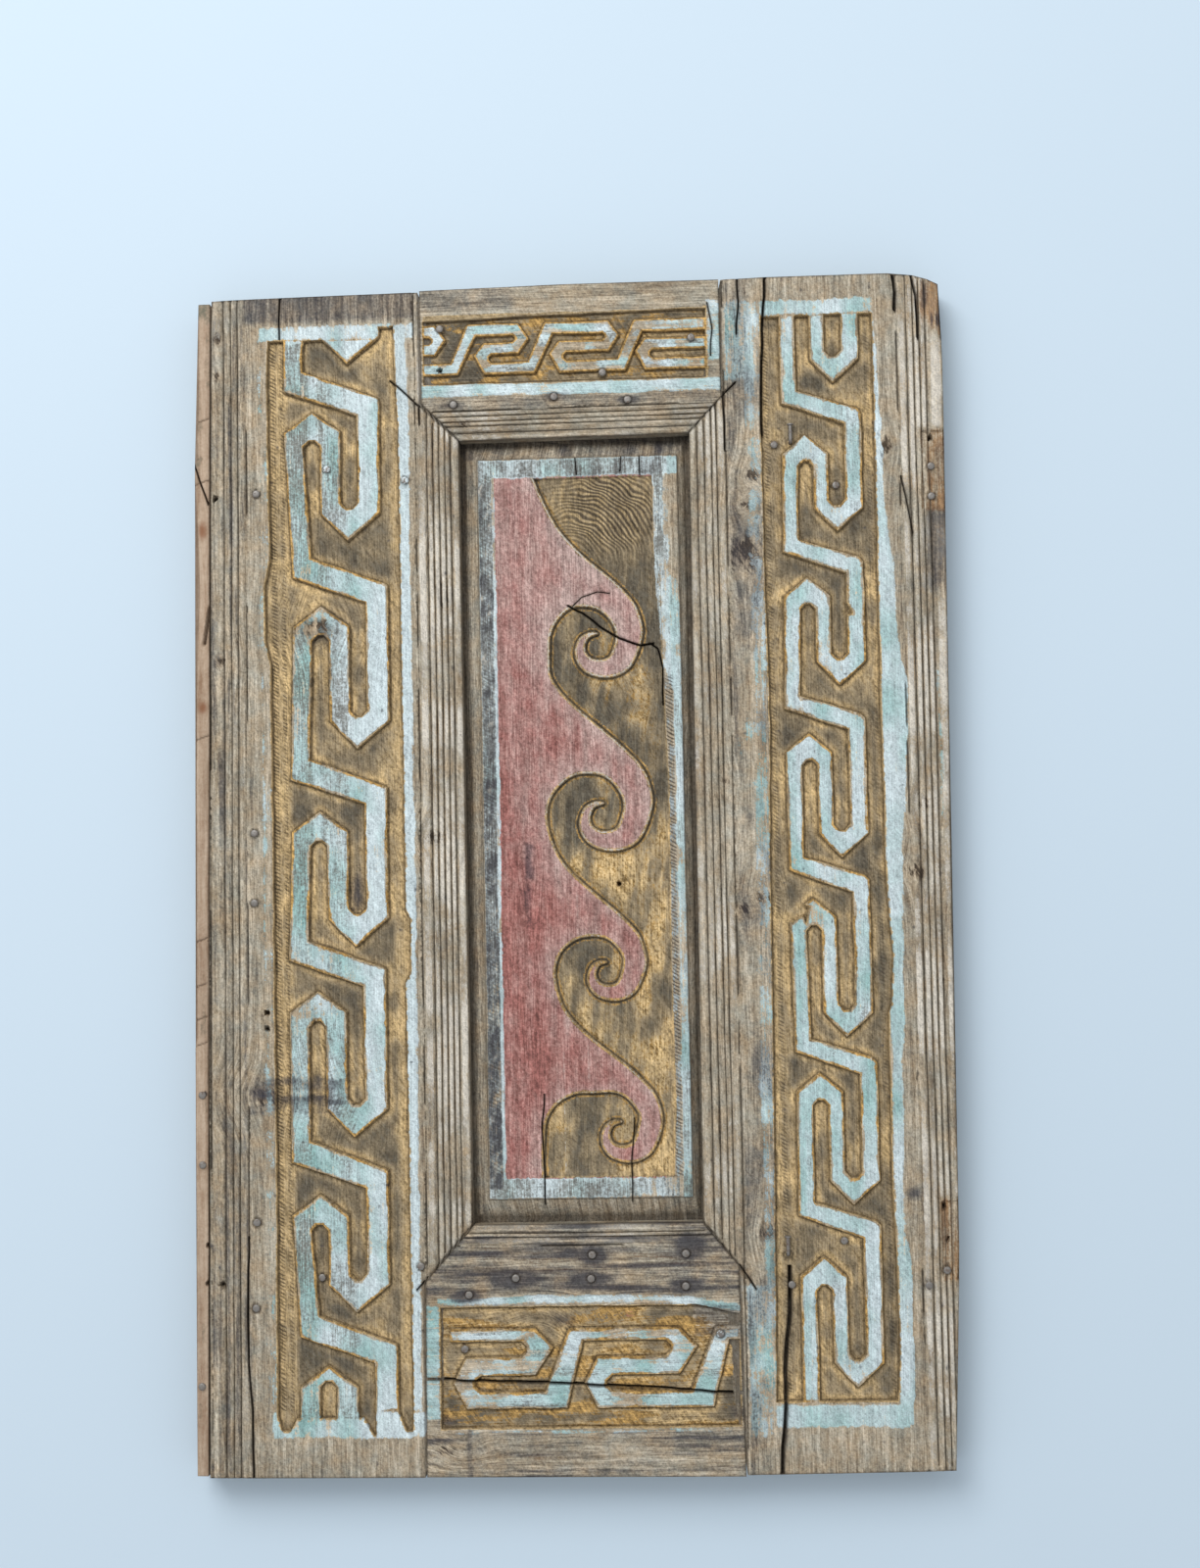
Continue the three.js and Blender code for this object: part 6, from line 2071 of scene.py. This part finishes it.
class DOOR_OT_nails(bpy.types.Operator):
    """Drive the nails, two of them hammered over"""
    bl_idname = "door.nails"
    bl_label = "Nails"

    def execute(self, context):
        rows = nail_rows()
        straight = [row for row in rows if not row[4]]
        in_boards = [row for row in straight if row[1] not in NAIL_LENGTH]
        in_lath = [row for row in straight if row[1] in NAIL_LENGTH]
        driven_nails("board_nails", in_boards, LONG_NAIL)
        driven_nails("lath_nails", in_lath, NAIL_LENGTH["edge_lath"])
        bent_nails("bent_nails", [row for row in rows if row[4]])
        return {"FINISHED"}


class DOOR_OT_stage(bpy.types.Operator):
    """Set up the floor, the soft light and the camera"""
    bl_idname = "door.stage"
    bl_label = "Stage"

    def execute(self, context):
        build_floor()
        build_camera()
        build_lights()
        return {"FINISHED"}


class DOOR_PT_panel(bpy.types.Panel):
    """Buttons and settings for the door"""
    bl_idname = "DOOR_PT_panel"
    bl_label = "Carved door"
    bl_space_type = "VIEW_3D"
    bl_region_type = "UI"
    bl_category = "Door"

    def draw(self, context):
        for group in GROUPS:
            settings = getattr(context.scene, group)
            box = self.layout.box()
            for name in settings.__annotations__:
                box.prop(settings, name)
        for operator in OPERATORS:
            self.layout.operator(operator.bl_idname)


GROUPS = {
    "door_carving": DoorCarving, "door_finish": DoorFinish, "door_nails": DoorNails,
    "door_stage": DoorStage,
}
OPERATORS = [
    DOOR_OT_stage, DOOR_OT_stiles, DOOR_OT_rails, DOOR_OT_panel, DOOR_OT_lath, DOOR_OT_nails,
]


def register():
    for cls in [*GROUPS.values(), *OPERATORS, DOOR_PT_panel]:
        bpy.utils.register_class(cls)
    for name, cls in GROUPS.items():
        setattr(bpy.types.Scene, name, PointerProperty(type=cls))


def unregister():
    for name in GROUPS:
        delattr(bpy.types.Scene, name)
    for cls in reversed([*GROUPS.values(), *OPERATORS, DOOR_PT_panel]):
        bpy.utils.unregister_class(cls)


def main():
    register()
    bpy.ops.door.stage()
    bpy.ops.door.stiles()
    bpy.ops.door.rails()
    bpy.ops.door.panel()
    bpy.ops.door.lath()
    bpy.ops.door.nails()


if __name__ == "__main__":
    main()
